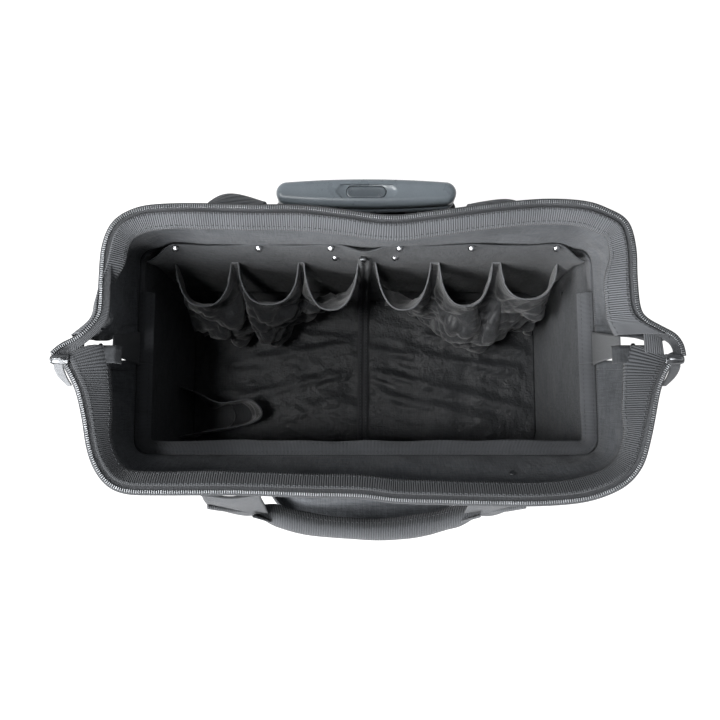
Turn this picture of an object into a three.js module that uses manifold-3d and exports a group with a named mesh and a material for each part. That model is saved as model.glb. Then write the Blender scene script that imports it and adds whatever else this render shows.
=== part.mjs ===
// Rolling wide-mouth tool bag: a sewn body on a moulded base with two wheels, a hinged steel mouth frame
// under soft flaps, two carry handles and a two-stage telescopic trolley with a push-button release.
// Millimetres. X runs across the bag, +Y is the trolley side, +Z is up.
import * as THREE from 'three';
import { mergeVertices } from 'three/addons/utils/BufferGeometryUtils.js';
import Module from 'manifold-3d';

const wasm = await Module();
wasm.setup();

// Clearances
const seatGap = 0.3;
const slideGap = 0.4;

// Body walls
const bodyHalfWidth = 232;
const bodyHalfDepth = 107;
const bodyCorner = 38;
const wallThickness = 3;
const shoulderZ = 290;
const gussetFromZ = shoulderZ - 95;
const gussetHalfDepth = bodyHalfDepth - 47.3;
const bindingHeight = 14;
const bindingThickness = 1.2;

// Base
const baseUndersideZ = 12;
const baseFloor = 4;
const baseWall = 3;
const baseHeight = 34;
const baseBevel = 5;
const floorBoard = 4.5;
const runnerLength = 300;
const runnerWidth = 9;
const runnerHeight = 4;
const runnerPitch = 56;
const footLength = 44;
const footWidth = 26;
const footInsetX = 44;
const footInsetY = 28;
const footBevel = 3;

// Mouth: each frame is a flat steel bar bent to a U, held in the hem of its flap
const rimTopZ = shoulderZ + 115;
const frontRimHalfWidth = bodyHalfWidth + 4;
const rearRimHalfWidth = bodyHalfWidth - 6.5;
const frontRimY = -bodyHalfDepth - 33;
const rearRimY = bodyHalfDepth + 6;
const rimCorner = 30;
const pivotY = -13;
const zipThickness = 2;
const zipHeight = 12;
const flapThickness = 2.5;
const flapTopDrop = 6;
const barThickness = 3;
const barHeight = 14;
const barTopDrop = 7;
const bandThickness = 1.4;
const bandHeight = 20;
const bandTopDrop = 4;
const bandShortOfEye = 2;
const flapShortOfRivet = 3;
const eyeRadius = 8;
const rivetRadius = 3;
const rivetHeadRadius = 5.5;
const rivetHead = 1.6;
const ear = { length: 34, thickness: 5, topDrop: 9, rootFront: 16, rootRear: 14, tipRadius: 5, tipOffset: 10 };
const earLoop = { tape: 8, root: 4, end: 16, halfEnd: 2 };
const slider = { length: 13, width: 9, height: 6.5, corner: 3, bevel: 1, fromTip: 8 };
const pull = { length: 32, width: 9, thickness: 1.6, corner: 3, overSlider: 1 };

// Pockets
const pocketCloth = 1.5;
const pocketSeam = 0.06;
const pocketFullness = [[0, 0.3], [0.12, 0.62], [0.45, 0.86], [1, 1]];
const pocketSteps = 10;
const pocketSquareness = 0.8;
const liningBottomZ = 94;
const liningBelowBinding = 4;
const liningHalfWidth = bodyHalfWidth - bodyCorner - 1;
const toolPocketsPerStrip = 3;
const toolPocketDepth = 44;
const toolPocketTopZ = shoulderZ - 44;
const toolPocketBottomZ = 98;
const centreSeamHalf = 7;
const pocketRowMargin = 3;
const toolPocketPitch = (liningHalfWidth - centreSeamHalf - pocketRowMargin) / toolPocketsPerStrip;
const frontPocketWidth = 210;
const frontPocketDepth = 52;
const frontPocketTopZ = shoulderZ - 38;
const frontPocketBottomZ = 58;
const cornerPocketWidth = 66;
const cornerPocketDepth = 58;
const cornerPocketTopZ = 105;

// Carry handles
const webbingWidth = 50;
const webbingThickness = 3;
const handleSpacing = 234;
const handleHingeZ = rimTopZ - 21;
const handleDrop = 76;
const handleBend = 0.4;
const rollPastLeg = 4;
const frontHandleReach = 19.5;
const frontRoll = { halfThick: 10.5, halfTall: 14, bow: 15 };
const rearHandleReach = 9.5;
const rearRoll = { halfThick: 7, halfTall: 14, bow: 0 };

// Trolley
const tubeSpacing = 128;
const trolleyY = bodyHalfDepth + 37;
const tubeWall = 1.1;
const innerTube = { width: 16, depth: 8, bottomZ: 30 };
const midTube = { bottomZ: 27, topZ: shoulderZ + 18 };
const outerTube = { bottomZ: 24, topZ: shoulderZ + 10 };
const collar = { width: tubeSpacing + 58, bottomZ: shoulderZ - 32, height: 26 };
const bracket = { width: tubeSpacing + 62, bottomZ: 16, height: 44 };
const sleeveCloth = 2;
const trolleyDepth = 30;
const mouldingCorner = 9;
const mouldingBevel = 3;
const lightening = { width: 12, fromTube: 12, floor: 6 };
const gripLength = tubeSpacing + 44;
const gripEnd = 10.5;
const gripBow = 3;
const gripHeight = 30;
const gripBottomZ = shoulderZ + 31;
const gripBevel = 6;
const dish = { halfLength: 28, halfWidth: 11.4, depth: 4 };
const button = { length: 38, width: 12, height: 9, topDrop: 2.4, flange: 1.6, flangeEnd: 3, flangeSide: 0.2 };
const buttonBevel = 1.2;
const tubeInGrip = 8;
const rodRoom = 1;
const buttonTravel = 4;
const yoke = { width: 8, height: 4.5, pastTube: 4, corner: 2, roomEnd: 2, roomSide: 2.5, roomBelow: 2 };
const rodRadius = 1.5;
const bolt = { radius: 2, length: 5.4, aboveTubeEnd: 10 };
const spring = { radius: 3.4, wire: 0.45, turns: 3 };

// Wheels
const wheelRadius = 36;
const wheelWidth = 26;
const tyreDepth = 9;
const axleRadius = 4;
const wheelX = bodyHalfWidth - 24;
const wheelY = bodyHalfDepth + 19;
const housingWall = 6;
const housingFrontY = wheelY - 42;
const housingRearY = wheelY + 20;
const housingTopZ = 86;
const housingBottomZ = 9;
const wheelRoom = 4;
const archCrown = 22;
const archLip = 6;
const archToe = 10;
const axleHead = 3;
const hub = { boss: 9, waist: 11, halfWeb: 4, rimSlope: 5, rimLip: 3, sideInset: 2 };
const hubHoles = { count: 5, radius: 4.2 };
const tyreRound = { shoulder: 3, side: 4, crown: 6, drop: 1, bead: 2 };

// Finishes
const finish = (color, roughness, metalness = 0) =>
  new THREE.MeshStandardMaterial({ color, roughness, metalness });
const charcoalCloth = finish(0x47484b, 0.92);
const liningCloth = finish(0x2f3032, 0.95);
const webbing = finish(0x3c3d40, 0.88);
const zipTape = finish(0x2a2b2d, 0.8);
const gripPlastic = finish(0x3d464b, 0.42);
const buttonPlastic = finish(0x333b40, 0.3);
const basePlastic = finish(0x1d1e20, 0.6);
const tyreRubber = finish(0x18181a, 0.85);
const aluminium = finish(0xa9acb0, 0.35, 1);
const steel = finish(0x8d9095, 0.4, 1);

const bag = new THREE.Group();
const add = (name, geometry, material, position = [0, 0, 0]) => {
  const mesh = new THREE.Mesh(geometry, material);
  mesh.name = name;
  mesh.position.set(...position);
  bag.add(mesh);
};
const sides = [['left', -1], ['right', 1]];

// Facets of a quarter turn, shared by walls, base and floor so that their corners nest
const arcSteps = 6;

// Boolean work on closed meshes
function solidOf(geometry) {
  const plain = geometry.clone();
  plain.deleteAttribute('normal');
  plain.deleteAttribute('uv');
  const merged = mergeVertices(plain);
  return new wasm.Manifold(new wasm.Mesh({
    numProp: 3,
    vertProperties: new Float32Array(merged.attributes.position.array),
    triVerts: new Uint32Array(merged.index.array),
  }));
}

function geometryOf(solid) {
  const mesh = solid.getMesh();
  const geometry = new THREE.BufferGeometry();
  geometry.setAttribute('position', new THREE.BufferAttribute(mesh.vertProperties, 3));
  geometry.setIndex(new THREE.BufferAttribute(mesh.triVerts, 1));
  return geometry;
}

const cut = (geometry, ...tools) =>
  geometryOf(tools.reduce((solid, tool) => solid.subtract(solidOf(tool)), solidOf(geometry)));
const join = (geometry, ...others) =>
  geometryOf(others.reduce((solid, other) => solid.add(solidOf(other)), solidOf(geometry)));
const common = (geometry, other) => geometryOf(solidOf(geometry).intersect(solidOf(other)));

// Shapes and simple solids
function roundedRect(width, depth, radius) {
  const x = width / 2;
  const y = depth / 2;
  const shape = new THREE.Shape();
  shape.moveTo(x - radius, -y);
  shape.absarc(x - radius, radius - y, radius, -Math.PI / 2, 0);
  shape.absarc(x - radius, y - radius, radius, 0, Math.PI / 2);
  shape.absarc(radius - x, y - radius, radius, Math.PI / 2, Math.PI);
  shape.absarc(radius - x, radius - y, radius, Math.PI, 1.5 * Math.PI);
  shape.closePath();
  return shape;
}

function stadium(length, width) {
  const radius = width / 2;
  const x = length / 2 - radius;
  const shape = new THREE.Shape();
  shape.moveTo(-x, -radius);
  shape.absarc(x, 0, radius, -Math.PI / 2, Math.PI / 2);
  shape.absarc(-x, 0, radius, Math.PI / 2, 1.5 * Math.PI);
  return shape;
}

function slab(shape, height, { bevel = 0, bottomZ = 0, curveSegments = arcSteps / 2 } = {}) {
  const geometry = new THREE.ExtrudeGeometry(shape, {
    depth: height - 2 * bevel,
    bevelEnabled: bevel > 0,
    bevelThickness: bevel,
    bevelSize: bevel,
    bevelOffset: -bevel,
    bevelSegments: 2,
    curveSegments,
  });
  return geometry.translate(0, 0, bottomZ + bevel);
}

function tube(width, depth, wall, bottomZ, topZ) {
  const corner = depth / 2 - 1;
  const shape = roundedRect(width, depth, corner);
  shape.holes.push(roundedRect(width - 2 * wall, depth - 2 * wall, corner - wall));
  return slab(shape, topZ - bottomZ, { bottomZ, curveSegments: 2 });
}

const boxFrom = (low, high) => {
  const size = high.map((value, axis) => value - low[axis]);
  const centre = high.map((value, axis) => (value + low[axis]) / 2);
  return new THREE.BoxGeometry(...size).translate(...centre);
};

const rodX = (radius, fromX, toX, y, z, segments = 16) =>
  new THREE.CylinderGeometry(radius, radius, toX - fromX, segments)
    .rotateZ(Math.PI / 2)
    .translate((fromX + toX) / 2, y, z);

const rodZ = (radius, x, y, fromZ, toZ, segments = 12) =>
  new THREE.CylinderGeometry(radius, radius, toZ - fromZ, segments)
    .rotateX(Math.PI / 2)
    .translate(x, y, (fromZ + toZ) / 2);

// A revolved piece about X, from half-profile points of distance along X and radius
const turnedX = (profile, segments) =>
  new THREE.LatheGeometry(profile.map(([along, radius]) => new THREE.Vector2(radius, along)), segments)
    .rotateZ(-Math.PI / 2);

// Cloth and bar strips: a path in plan, offset to its left by the strip's thickness
function offsetPath(path, distance) {
  return path.map((point, index) => {
    const before = path[Math.max(index - 1, 0)];
    const after = path[Math.min(index + 1, path.length - 1)];
    const arriving = (index > 0 ? point.clone().sub(before) : after.clone().sub(point)).normalize();
    const leaving = (index < path.length - 1 ? after.clone().sub(point) : arriving.clone()).normalize();
    const along = arriving.clone().add(leaving).normalize();
    const reach = distance / along.dot(leaving);
    return new THREE.Vector2(point.x - along.y * reach, point.y + along.x * reach);
  });
}

// A closed sheet through stacked sections, each a plan path at a height
function sheet(sections, thickness) {
  const count = sections[0].path.length;
  const levels = sections.length;
  const positions = [];
  for (const side of [0, thickness]) {
    for (const { path, z } of sections) {
      for (const point of offsetPath(path, side)) {
        positions.push(point.x, point.y, z);
      }
    }
  }
  const outer = (level, index) => level * count + index;
  const inner = (level, index) => (levels + level) * count + index;
  const triangles = [];
  const quad = (a, b, c, d) => triangles.push(a, b, c, a, c, d);
  for (let level = 0; level < levels - 1; level += 1) {
    for (let i = 0; i < count - 1; i += 1) {
      quad(outer(level, i), outer(level, i + 1), outer(level + 1, i + 1), outer(level + 1, i));
      quad(inner(level, i), inner(level + 1, i), inner(level + 1, i + 1), inner(level, i + 1));
    }
    const last = count - 1;
    quad(outer(level, 0), outer(level + 1, 0), inner(level + 1, 0), inner(level, 0));
    quad(outer(level, last), inner(level, last), inner(level + 1, last), outer(level + 1, last));
  }
  const top = levels - 1;
  for (let i = 0; i < count - 1; i += 1) {
    quad(outer(0, i), inner(0, i), inner(0, i + 1), outer(0, i + 1));
    quad(outer(top, i), outer(top, i + 1), inner(top, i + 1), inner(top, i));
  }
  const geometry = new THREE.BufferGeometry();
  geometry.setAttribute('position', new THREE.Float32BufferAttribute(positions, 3));
  geometry.setIndex(triangles);
  return geometry;
}

const strip = (path, bottomZ, topZ, thickness) =>
  sheet([{ path, z: bottomZ }, { path, z: topZ }], thickness);

// The U-shaped plan path of one half of the bag, from arm end to arm end, with the inside on its left
function halfPath({ side, halfWidth, faceY, corner, endY }, inset = 0) {
  const x = halfWidth - inset;
  const y = faceY - side * inset;
  const radius = Math.max(corner - inset, 1);
  const turn = (centreX, centreY, from, to) =>
    Array.from({ length: arcSteps + 1 }, (unused, step) => {
      const angle = from + ((to - from) * step) / arcSteps;
      return new THREE.Vector2(centreX + radius * Math.cos(angle), centreY + radius * Math.sin(angle));
    });
  const start = side < 0 ? Math.PI : 0;
  const first = turn(side * (x - radius), y - side * radius, start, start + Math.PI / 2);
  const second = turn(-side * (x - radius), y - side * radius, start + Math.PI / 2, start + Math.PI);
  return [new THREE.Vector2(side * x, endY), ...first, ...second, new THREE.Vector2(-side * x, endY)];
}

// Body walls: the front and rear panels carry the rounded corners, stiff side walls stand between them and
// soft gussets fill the sides above, where the mouth folds in
function addBody() {
  const bottomZ = baseUndersideZ + baseFloor + seatGap;
  const topZ = shoulderZ - seatGap;
  const panelEnd = gussetHalfDepth + seatGap;
  const half = (side) => ({
    side, halfWidth: bodyHalfWidth, faceY: side * bodyHalfDepth, corner: bodyCorner, endY: side * panelEnd,
  });
  add('front_panel', strip(halfPath(half(-1)), bottomZ, topZ, wallThickness), charcoalCloth);
  const rear = strip(halfPath(half(1)), bottomZ, topZ, wallThickness);
  add('rear_panel', cut(rear, ...sides.map(([, side]) => wheelWell(side))), charcoalCloth);
  for (const [name, side] of sides) {
    const outer = side * bodyHalfWidth;
    const inner = side * (bodyHalfWidth - wallThickness);
    const lowX = Math.min(outer, inner);
    const highX = Math.max(outer, inner);
    const wall = (fromZ, toZ) =>
      boxFrom([lowX, -gussetHalfDepth, fromZ], [highX, gussetHalfDepth, toZ]);
    add(`side_panel_${name}`, wall(bottomZ, gussetFromZ), charcoalCloth);
    add(`side_gusset_${name}`, wall(gussetFromZ + seatGap, topZ), charcoalCloth);
  }
  for (const [name, side] of [['front', -1], ['rear', 1]]) {
    const path = halfPath(half(side), wallThickness + seatGap);
    add(`${name}_binding`, strip(path, topZ - bindingHeight, topZ, bindingThickness), webbing);
  }
}

// The clear space each wheel housing takes out of the body, base and floor
function wheelWell(side) {
  const half = wheelWidth / 2 + wheelRoom + housingWall + seatGap;
  return boxFrom(
    [side * wheelX - half, housingFrontY - seatGap, -1],
    [side * wheelX + half + bodyHalfWidth, housingRearY + wheelRadius, housingTopZ + seatGap],
  ).translate(side < 0 ? -bodyHalfWidth : 0, 0, 0);
}

// Base: a moulded tray with runners underneath, feet at the front and a floor board inside
function addBase() {
  const inner = (gap) => roundedRect(
    2 * (bodyHalfWidth + gap), 2 * (bodyHalfDepth + gap), bodyCorner + gap);
  const wells = sides.map(([, side]) => wheelWell(side));
  const tub = slab(inner(seatGap + baseWall), baseHeight, { bevel: baseBevel, bottomZ: baseUndersideZ });
  const hollow = slab(inner(seatGap), baseHeight, { bottomZ: baseUndersideZ + baseFloor });
  const runners = [-1, 0, 1].map((row) =>
    slab(stadium(runnerLength, runnerWidth), runnerHeight + 1, { bottomZ: baseUndersideZ - runnerHeight })
      .translate(0, row * runnerPitch, 0));
  add('base_tray', cut(join(tub, ...runners), hollow, ...wells), basePlastic);
  const boardInset = wallThickness + seatGap;
  const board = slab(inner(-boardInset), floorBoard, { bottomZ: baseUndersideZ + baseFloor + seatGap });
  add('floor_board', cut(board, ...wells), liningCloth);
  for (const [name, side] of sides) {
    const foot = slab(stadium(footLength, footWidth), baseUndersideZ - seatGap, { bevel: footBevel });
    const x = side * (bodyHalfWidth - footInsetX);
    add(`front_foot_${name}`, foot, basePlastic, [x, footInsetY - bodyHalfDepth, 0]);
  }
}

// Wheels: hub and tyre turn on a fixed axle held by the two cheeks of a moulded arch
function addWheels() {
  const half = wheelWidth / 2;
  const hubRadius = wheelRadius - tyreDepth;
  const boreRadius = axleRadius + seatGap;
  const cheek = half + wheelRoom + housingWall;
  const arch = new THREE.Shape();
  const crownZ = housingTopZ - archCrown;
  const lipY = housingRearY - archLip;
  arch.moveTo(housingFrontY, housingBottomZ);
  arch.lineTo(housingFrontY, crownZ);
  arch.absarc(housingFrontY + archCrown, crownZ, archCrown, Math.PI, Math.PI / 2, true);
  arch.lineTo(housingRearY - archCrown, housingTopZ);
  arch.absarc(housingRearY - archCrown, crownZ, archCrown, Math.PI / 2, 0, true);
  arch.lineTo(lipY, wheelRadius);
  arch.absarc(wheelY, wheelRadius, lipY - wheelY, 0, -Math.PI / 2, true);
  arch.lineTo(wheelY - archToe, housingBottomZ);
  arch.closePath();
  const acrossX = (shape, width) =>
    slab(shape, width, { bottomZ: -width / 2 }).rotateX(Math.PI / 2).rotateZ(Math.PI / 2);
  const roomRadius = wheelRadius + wheelRoom;
  const room = 2 * (half + wheelRoom);
  const wheelSpace = rodX(roomRadius, -room / 2, room / 2, wheelY, wheelRadius, 36);
  const wayOut = boxFrom(
    [-room / 2, wheelY, -1],
    [room / 2, wheelY + 2 * wheelRadius, wheelRadius + roomRadius],
  );
  const wayDown = boxFrom([-room / 2, wheelY - roomRadius, -1], [room / 2, wheelY + roomRadius, wheelRadius]);
  const axleHole = rodX(boreRadius, -cheek - 1, cheek + 1, wheelY, wheelRadius);
  const housing = cut(acrossX(arch, 2 * cheek), wheelSpace, wayOut, wayDown, axleHole);
  const axleEnd = cheek + axleHead;
  const axle = join(
    rodX(axleRadius, -axleEnd, axleEnd, wheelY, wheelRadius),
    rodX(axleRadius + axleHead, cheek + seatGap, axleEnd, wheelY, wheelRadius),
    rodX(axleRadius + axleHead, -axleEnd, -cheek - seatGap, wheelY, wheelRadius),
  );
  const bossEnd = half + wheelRoom - seatGap;
  const rimEnd = half - hub.sideInset;
  const webEdge = hubRadius - hub.rimSlope;
  const rimEdge = hubRadius - hub.rimLip;
  const hubSection = [
    [-bossEnd, boreRadius], [-bossEnd, hub.boss], [-hub.halfWeb, hub.waist], [-hub.halfWeb, webEdge],
    [-rimEnd, rimEdge], [-rimEnd, hubRadius], [rimEnd, hubRadius], [rimEnd, rimEdge], [hub.halfWeb, webEdge],
    [hub.halfWeb, hub.waist], [bossEnd, hub.boss], [bossEnd, boreRadius], [-bossEnd, boreRadius],
  ];
  const holeRing = (hub.waist + webEdge) / 2;
  const holes = Array.from({ length: hubHoles.count }, (unused, index) => {
    const angle = (2 * Math.PI * index) / hubHoles.count;
    return rodX(hubHoles.radius, -half, half, holeRing * Math.cos(angle), holeRing * Math.sin(angle), 10);
  });
  const hubBody = cut(turnedX(hubSection, 24), ...holes);
  const seat = hubRadius + seatGap;
  const sideEdge = wheelRadius - tyreRound.side;
  const shoulder = [half - tyreRound.shoulder, wheelRadius - tyreRound.drop];
  const tyre = turnedX([
    [-rimEnd, seat], [-half, seat + tyreRound.bead], [-half, sideEdge], [-shoulder[0], shoulder[1]],
    [tyreRound.crown - half, wheelRadius], [half - tyreRound.crown, wheelRadius], shoulder, [half, sideEdge],
    [half, seat + tyreRound.bead], [rimEnd, seat], [-rimEnd, seat],
  ], 32);
  for (const [name, side] of sides) {
    const x = side * wheelX;
    add(`wheel_housing_${name}`, housing, basePlastic, [x, 0, 0]);
    add(`axle_${name}`, axle, steel, [x, 0, 0]);
    add(`wheel_hub_${name}`, hubBody, basePlastic, [x, wheelY, wheelRadius]);
    add(`tyre_${name}`, tyre, tyreRubber, [x, wheelY, wheelRadius]);
  }
}

// Mouth: two flaps, each with its steel bar, grosgrain band and half of the zip
const frontRim = { side: -1, halfWidth: frontRimHalfWidth, faceY: frontRimY, corner: rimCorner };
const rearRim = { side: 1, halfWidth: rearRimHalfWidth, faceY: rearRimY, corner: rimCorner };
const flapInset = zipThickness + seatGap;
const barInset = flapInset + flapThickness + seatGap;
const bandInset = barInset + barThickness + seatGap;
const barMidZ = rimTopZ - barTopDrop - barHeight / 2;

function addMouthHalf(name, rim) {
  const away = rim.side;
  const barPath = halfPath({ ...rim, endY: pivotY }, barInset);
  const barX = rim.halfWidth - barInset;
  const eyes = sides.map(([, side]) => {
    const faces = [side * barX, side * (barX - barThickness)].sort((a, b) => a - b);
    return rodX(eyeRadius, ...faces, pivotY, barMidZ, 18);
  });
  const holes = sides.map(([, side]) => {
    const faces = [side * (barX + 1), side * (barX - barThickness - 1)].sort((a, b) => a - b);
    return rodX(rivetRadius + seatGap, ...faces, pivotY, barMidZ, 12);
  });
  const bar = strip(barPath, barMidZ - barHeight / 2, barMidZ + barHeight / 2, barThickness);
  add(`${name}_frame_bar`, cut(join(bar, ...eyes), ...holes), steel);
  const bandTop = rimTopZ - bandTopDrop;
  const bandPath = halfPath({ ...rim, endY: pivotY + away * (eyeRadius + bandShortOfEye) }, bandInset);
  add(`${name}_band`, strip(bandPath, bandTop - bandHeight, bandTop, bandThickness), webbing);
  const zipPath = halfPath({ ...rim, endY: pivotY + away * rivetHeadRadius });
  add(`${name}_zip`, strip(zipPath, rimTopZ - zipHeight, rimTopZ, zipThickness), zipTape);
  const flapEnd = pivotY + away * (rivetHeadRadius + flapShortOfRivet);
  const foot = { ...rim, halfWidth: bodyHalfWidth, faceY: away * bodyHalfDepth, corner: bodyCorner };
  const hem = halfPath({ ...rim, endY: flapEnd }, flapInset);
  const flap = sheet([
    { path: halfPath({ ...foot, endY: flapEnd }), z: shoulderZ },
    { path: hem, z: Math.min(barMidZ - barHeight / 2, bandTop - bandHeight) - 1 },
    { path: hem, z: rimTopZ - flapTopDrop },
  ], flapThickness);
  add(`${name}_flap`, flap, charcoalCloth);
}

function addPivotsAndZipEnds() {
  const frontBarX = frontRimHalfWidth - barInset;
  const rearBarX = rearRimHalfWidth - barInset;
  const outline = new THREE.Shape();
  const tipX = ear.length - ear.tipRadius;
  outline.moveTo(0, -ear.rootFront);
  outline.lineTo(tipX, -ear.tipRadius - ear.tipOffset);
  outline.absarc(tipX, -ear.tipOffset, ear.tipRadius, -Math.PI / 2, Math.PI / 2);
  outline.lineTo(0, ear.rootRear);
  outline.closePath();
  const loop = new THREE.Path();
  loop.moveTo(earLoop.root, earLoop.tape - ear.rootFront);
  loop.lineTo(ear.length - earLoop.end, -ear.tipOffset - earLoop.halfEnd);
  loop.lineTo(ear.length - earLoop.end, earLoop.halfEnd - ear.tipOffset);
  loop.lineTo(earLoop.root, ear.rootRear - earLoop.tape);
  loop.closePath();
  outline.holes.push(loop);
  const earBottom = rimTopZ - ear.topDrop - ear.thickness;
  const earX = frontRimHalfWidth + seatGap;
  const sliderBody = slab(roundedRect(slider.length, slider.width, slider.corner), slider.height,
    { bevel: slider.bevel, curveSegments: 2 });
  const sliderZ = earBottom + ear.thickness + seatGap;
  const pullTop = sliderZ + slider.height - pull.overSlider;
  for (const [name, side] of sides) {
    const shank = [side * (rearBarX + seatGap), side * (frontBarX + seatGap)].sort((a, b) => a - b);
    const headX = frontBarX + seatGap;
    const head = [side * headX, side * (headX + rivetHead)].sort((a, b) => a - b);
    const rivet = join(
      rodX(rivetRadius, ...shank, pivotY, barMidZ, 12),
      rodX(rivetHeadRadius, ...head, pivotY, barMidZ, 12),
    );
    add(`pivot_rivet_${name}`, rivet, steel);
    const rightEar = solidOf(slab(outline, ear.thickness, { curveSegments: 6 }));
    const earSolid = side < 0 ? rightEar.mirror([1, 0, 0]) : rightEar;
    add(`zip_end_${name}`, geometryOf(earSolid), zipTape, [side * earX, pivotY, earBottom]);
    const sliderX = side * (earX + ear.length - slider.fromTip);
    const sliderY = pivotY - ear.tipOffset;
    add(`zip_slider_${name}`, sliderBody, steel, [sliderX, sliderY, sliderZ]);
    const pullX = side * (earX + ear.length + seatGap);
    const pullShape = roundedRect(pull.length, pull.width, pull.corner);
    const tab = slab(pullShape, pull.thickness, { curveSegments: 2 }).rotateY(Math.PI / 2);
    const tabX = side < 0 ? pullX - pull.thickness : pullX;
    add(`zip_pull_${name}`, tab, steel, [tabX, sliderY, pullTop - pull.length / 2]);
  }
}

// Pockets: a row of gaping pockets sewn to a wall, full at the mouth and drawn in towards the bottom
function pocketRow({ fromX, count, pitch, depth, wallY, bottomZ, topZ }) {
  const mouth = [[0, 0]];
  for (let pocket = 0; pocket < count; pocket += 1) {
    for (let step = 0; step <= pocketSteps; step += 1) {
      const share = step / pocketSteps;
      const across = pocketSeam + (1 - 2 * pocketSeam) * share;
      mouth.push([pocket + across, Math.sin(Math.PI * share) ** pocketSquareness]);
    }
  }
  mouth.push([count, 0]);
  const backY = wallY - pocketCloth - seatGap;
  const sections = pocketFullness.map(([share, fullness]) => ({
    z: bottomZ + share * (topZ - bottomZ),
    path: mouth.map(([along, bulge]) =>
      new THREE.Vector2(fromX + along * pitch, backY - depth * fullness * bulge)),
  }));
  return sheet(sections, pocketCloth);
}

function addPockets() {
  const rearInnerY = bodyHalfDepth - wallThickness;
  const liningTop = shoulderZ - bindingHeight - 2 * seatGap - liningBelowBinding;
  const lining = boxFrom(
    [-liningHalfWidth, rearInnerY - seatGap - pocketCloth, liningBottomZ],
    [liningHalfWidth, rearInnerY - seatGap, liningTop],
  );
  add('rear_lining', lining, liningCloth);
  const stripLength = toolPocketsPerStrip * toolPocketPitch;
  for (const [name, side] of sides) {
    const row = pocketRow({
      fromX: side < 0 ? -centreSeamHalf - stripLength : centreSeamHalf,
      count: toolPocketsPerStrip,
      pitch: toolPocketPitch,
      depth: toolPocketDepth,
      wallY: rearInnerY - seatGap - pocketCloth,
      bottomZ: toolPocketBottomZ,
      topZ: toolPocketTopZ,
    });
    add(`tool_pockets_${name}`, row, liningCloth);
  }
  const frontPocket = pocketRow({
    fromX: -frontPocketWidth / 2,
    count: 1,
    pitch: frontPocketWidth,
    depth: frontPocketDepth,
    wallY: -bodyHalfDepth,
    bottomZ: frontPocketBottomZ,
    topZ: frontPocketTopZ,
  });
  add('front_pocket', frontPocket, charcoalCloth);
  const floorTop = baseUndersideZ + baseFloor + seatGap + floorBoard;
  const cornerPocket = pocketRow({
    fromX: -cornerPocketWidth / 2,
    count: 1,
    pitch: cornerPocketWidth,
    depth: cornerPocketDepth,
    wallY: 0,
    bottomZ: floorTop + seatGap,
    topZ: cornerPocketTopZ,
  }).rotateZ(Math.PI / 2);
  const cornerPocketY = bodyCorner - bodyHalfDepth + cornerPocketWidth / 2;
  add('corner_pocket', cornerPocket, liningCloth, [wallThickness - bodyHalfWidth, cornerPocketY, 0]);
}

// Carry handles: two webbing legs and a rolled middle, hanging from the outside of each flap
function carryHandle({ side, hingeY, reach, roll }) {
  const half = webbingThickness / 2;
  const legLine = new THREE.Shape();
  const rollY = side * reach;
  const bendY = rollY + side * webbingThickness;
  const bendZ = -handleBend * handleDrop;
  legLine.moveTo(-side * half, 0);
  legLine.quadraticCurveTo(bendY - side * half, bendZ, rollY - side * half, -handleDrop);
  legLine.lineTo(rollY + side * half, -handleDrop);
  legLine.quadraticCurveTo(bendY + side * half, bendZ, side * half, 0);
  legLine.closePath();
  const legs = sides.map(([, across]) =>
    slab(legLine, webbingWidth, { bottomZ: -webbingWidth / 2 })
      .rotateX(Math.PI / 2)
      .rotateZ(Math.PI / 2)
      .translate((across * handleSpacing) / 2, 0, 0));
  const section = new THREE.Shape();
  section.absellipse(0, 0, roll.halfTall, roll.halfThick, 0, 2 * Math.PI);
  const end = handleSpacing / 2 + rollPastLeg;
  const bowed = new THREE.CatmullRomCurve3([-1, -0.5, 0, 0.5, 1].map((share) =>
    new THREE.Vector3(share * end, rollY + side * roll.bow * (1 - share * share), -handleDrop)));
  const middle = new THREE.ExtrudeGeometry(section, {
    extrudePath: bowed, steps: 10, curveSegments: 6, bevelEnabled: false,
  });
  return join(middle, ...legs).translate(0, hingeY, handleHingeZ);
}

function addHandles() {
  const offFlap = flapInset - seatGap - webbingThickness / 2;
  const frontHingeY = frontRimY + offFlap;
  const rearHingeY = rearRimY - offFlap;
  add('front_handle', carryHandle({
    side: -1, hingeY: frontHingeY, reach: frontHandleReach, roll: frontRoll }), webbing);
  add('rear_handle', carryHandle({
    side: 1, hingeY: rearHingeY, reach: rearHandleReach, roll: rearRoll }), webbing);
}

// Trolley: nested tubes between an upper collar and a lower bracket, under a fabric sleeve
const tubeX = (side) => (side * tubeSpacing) / 2;
const grow = (gap) => ({ width: innerTube.width + 2 * gap, depth: innerTube.depth + 2 * gap });
const midSize = grow(slideGap + tubeWall);
const outerSize = grow(2 * (slideGap + tubeWall));

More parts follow.
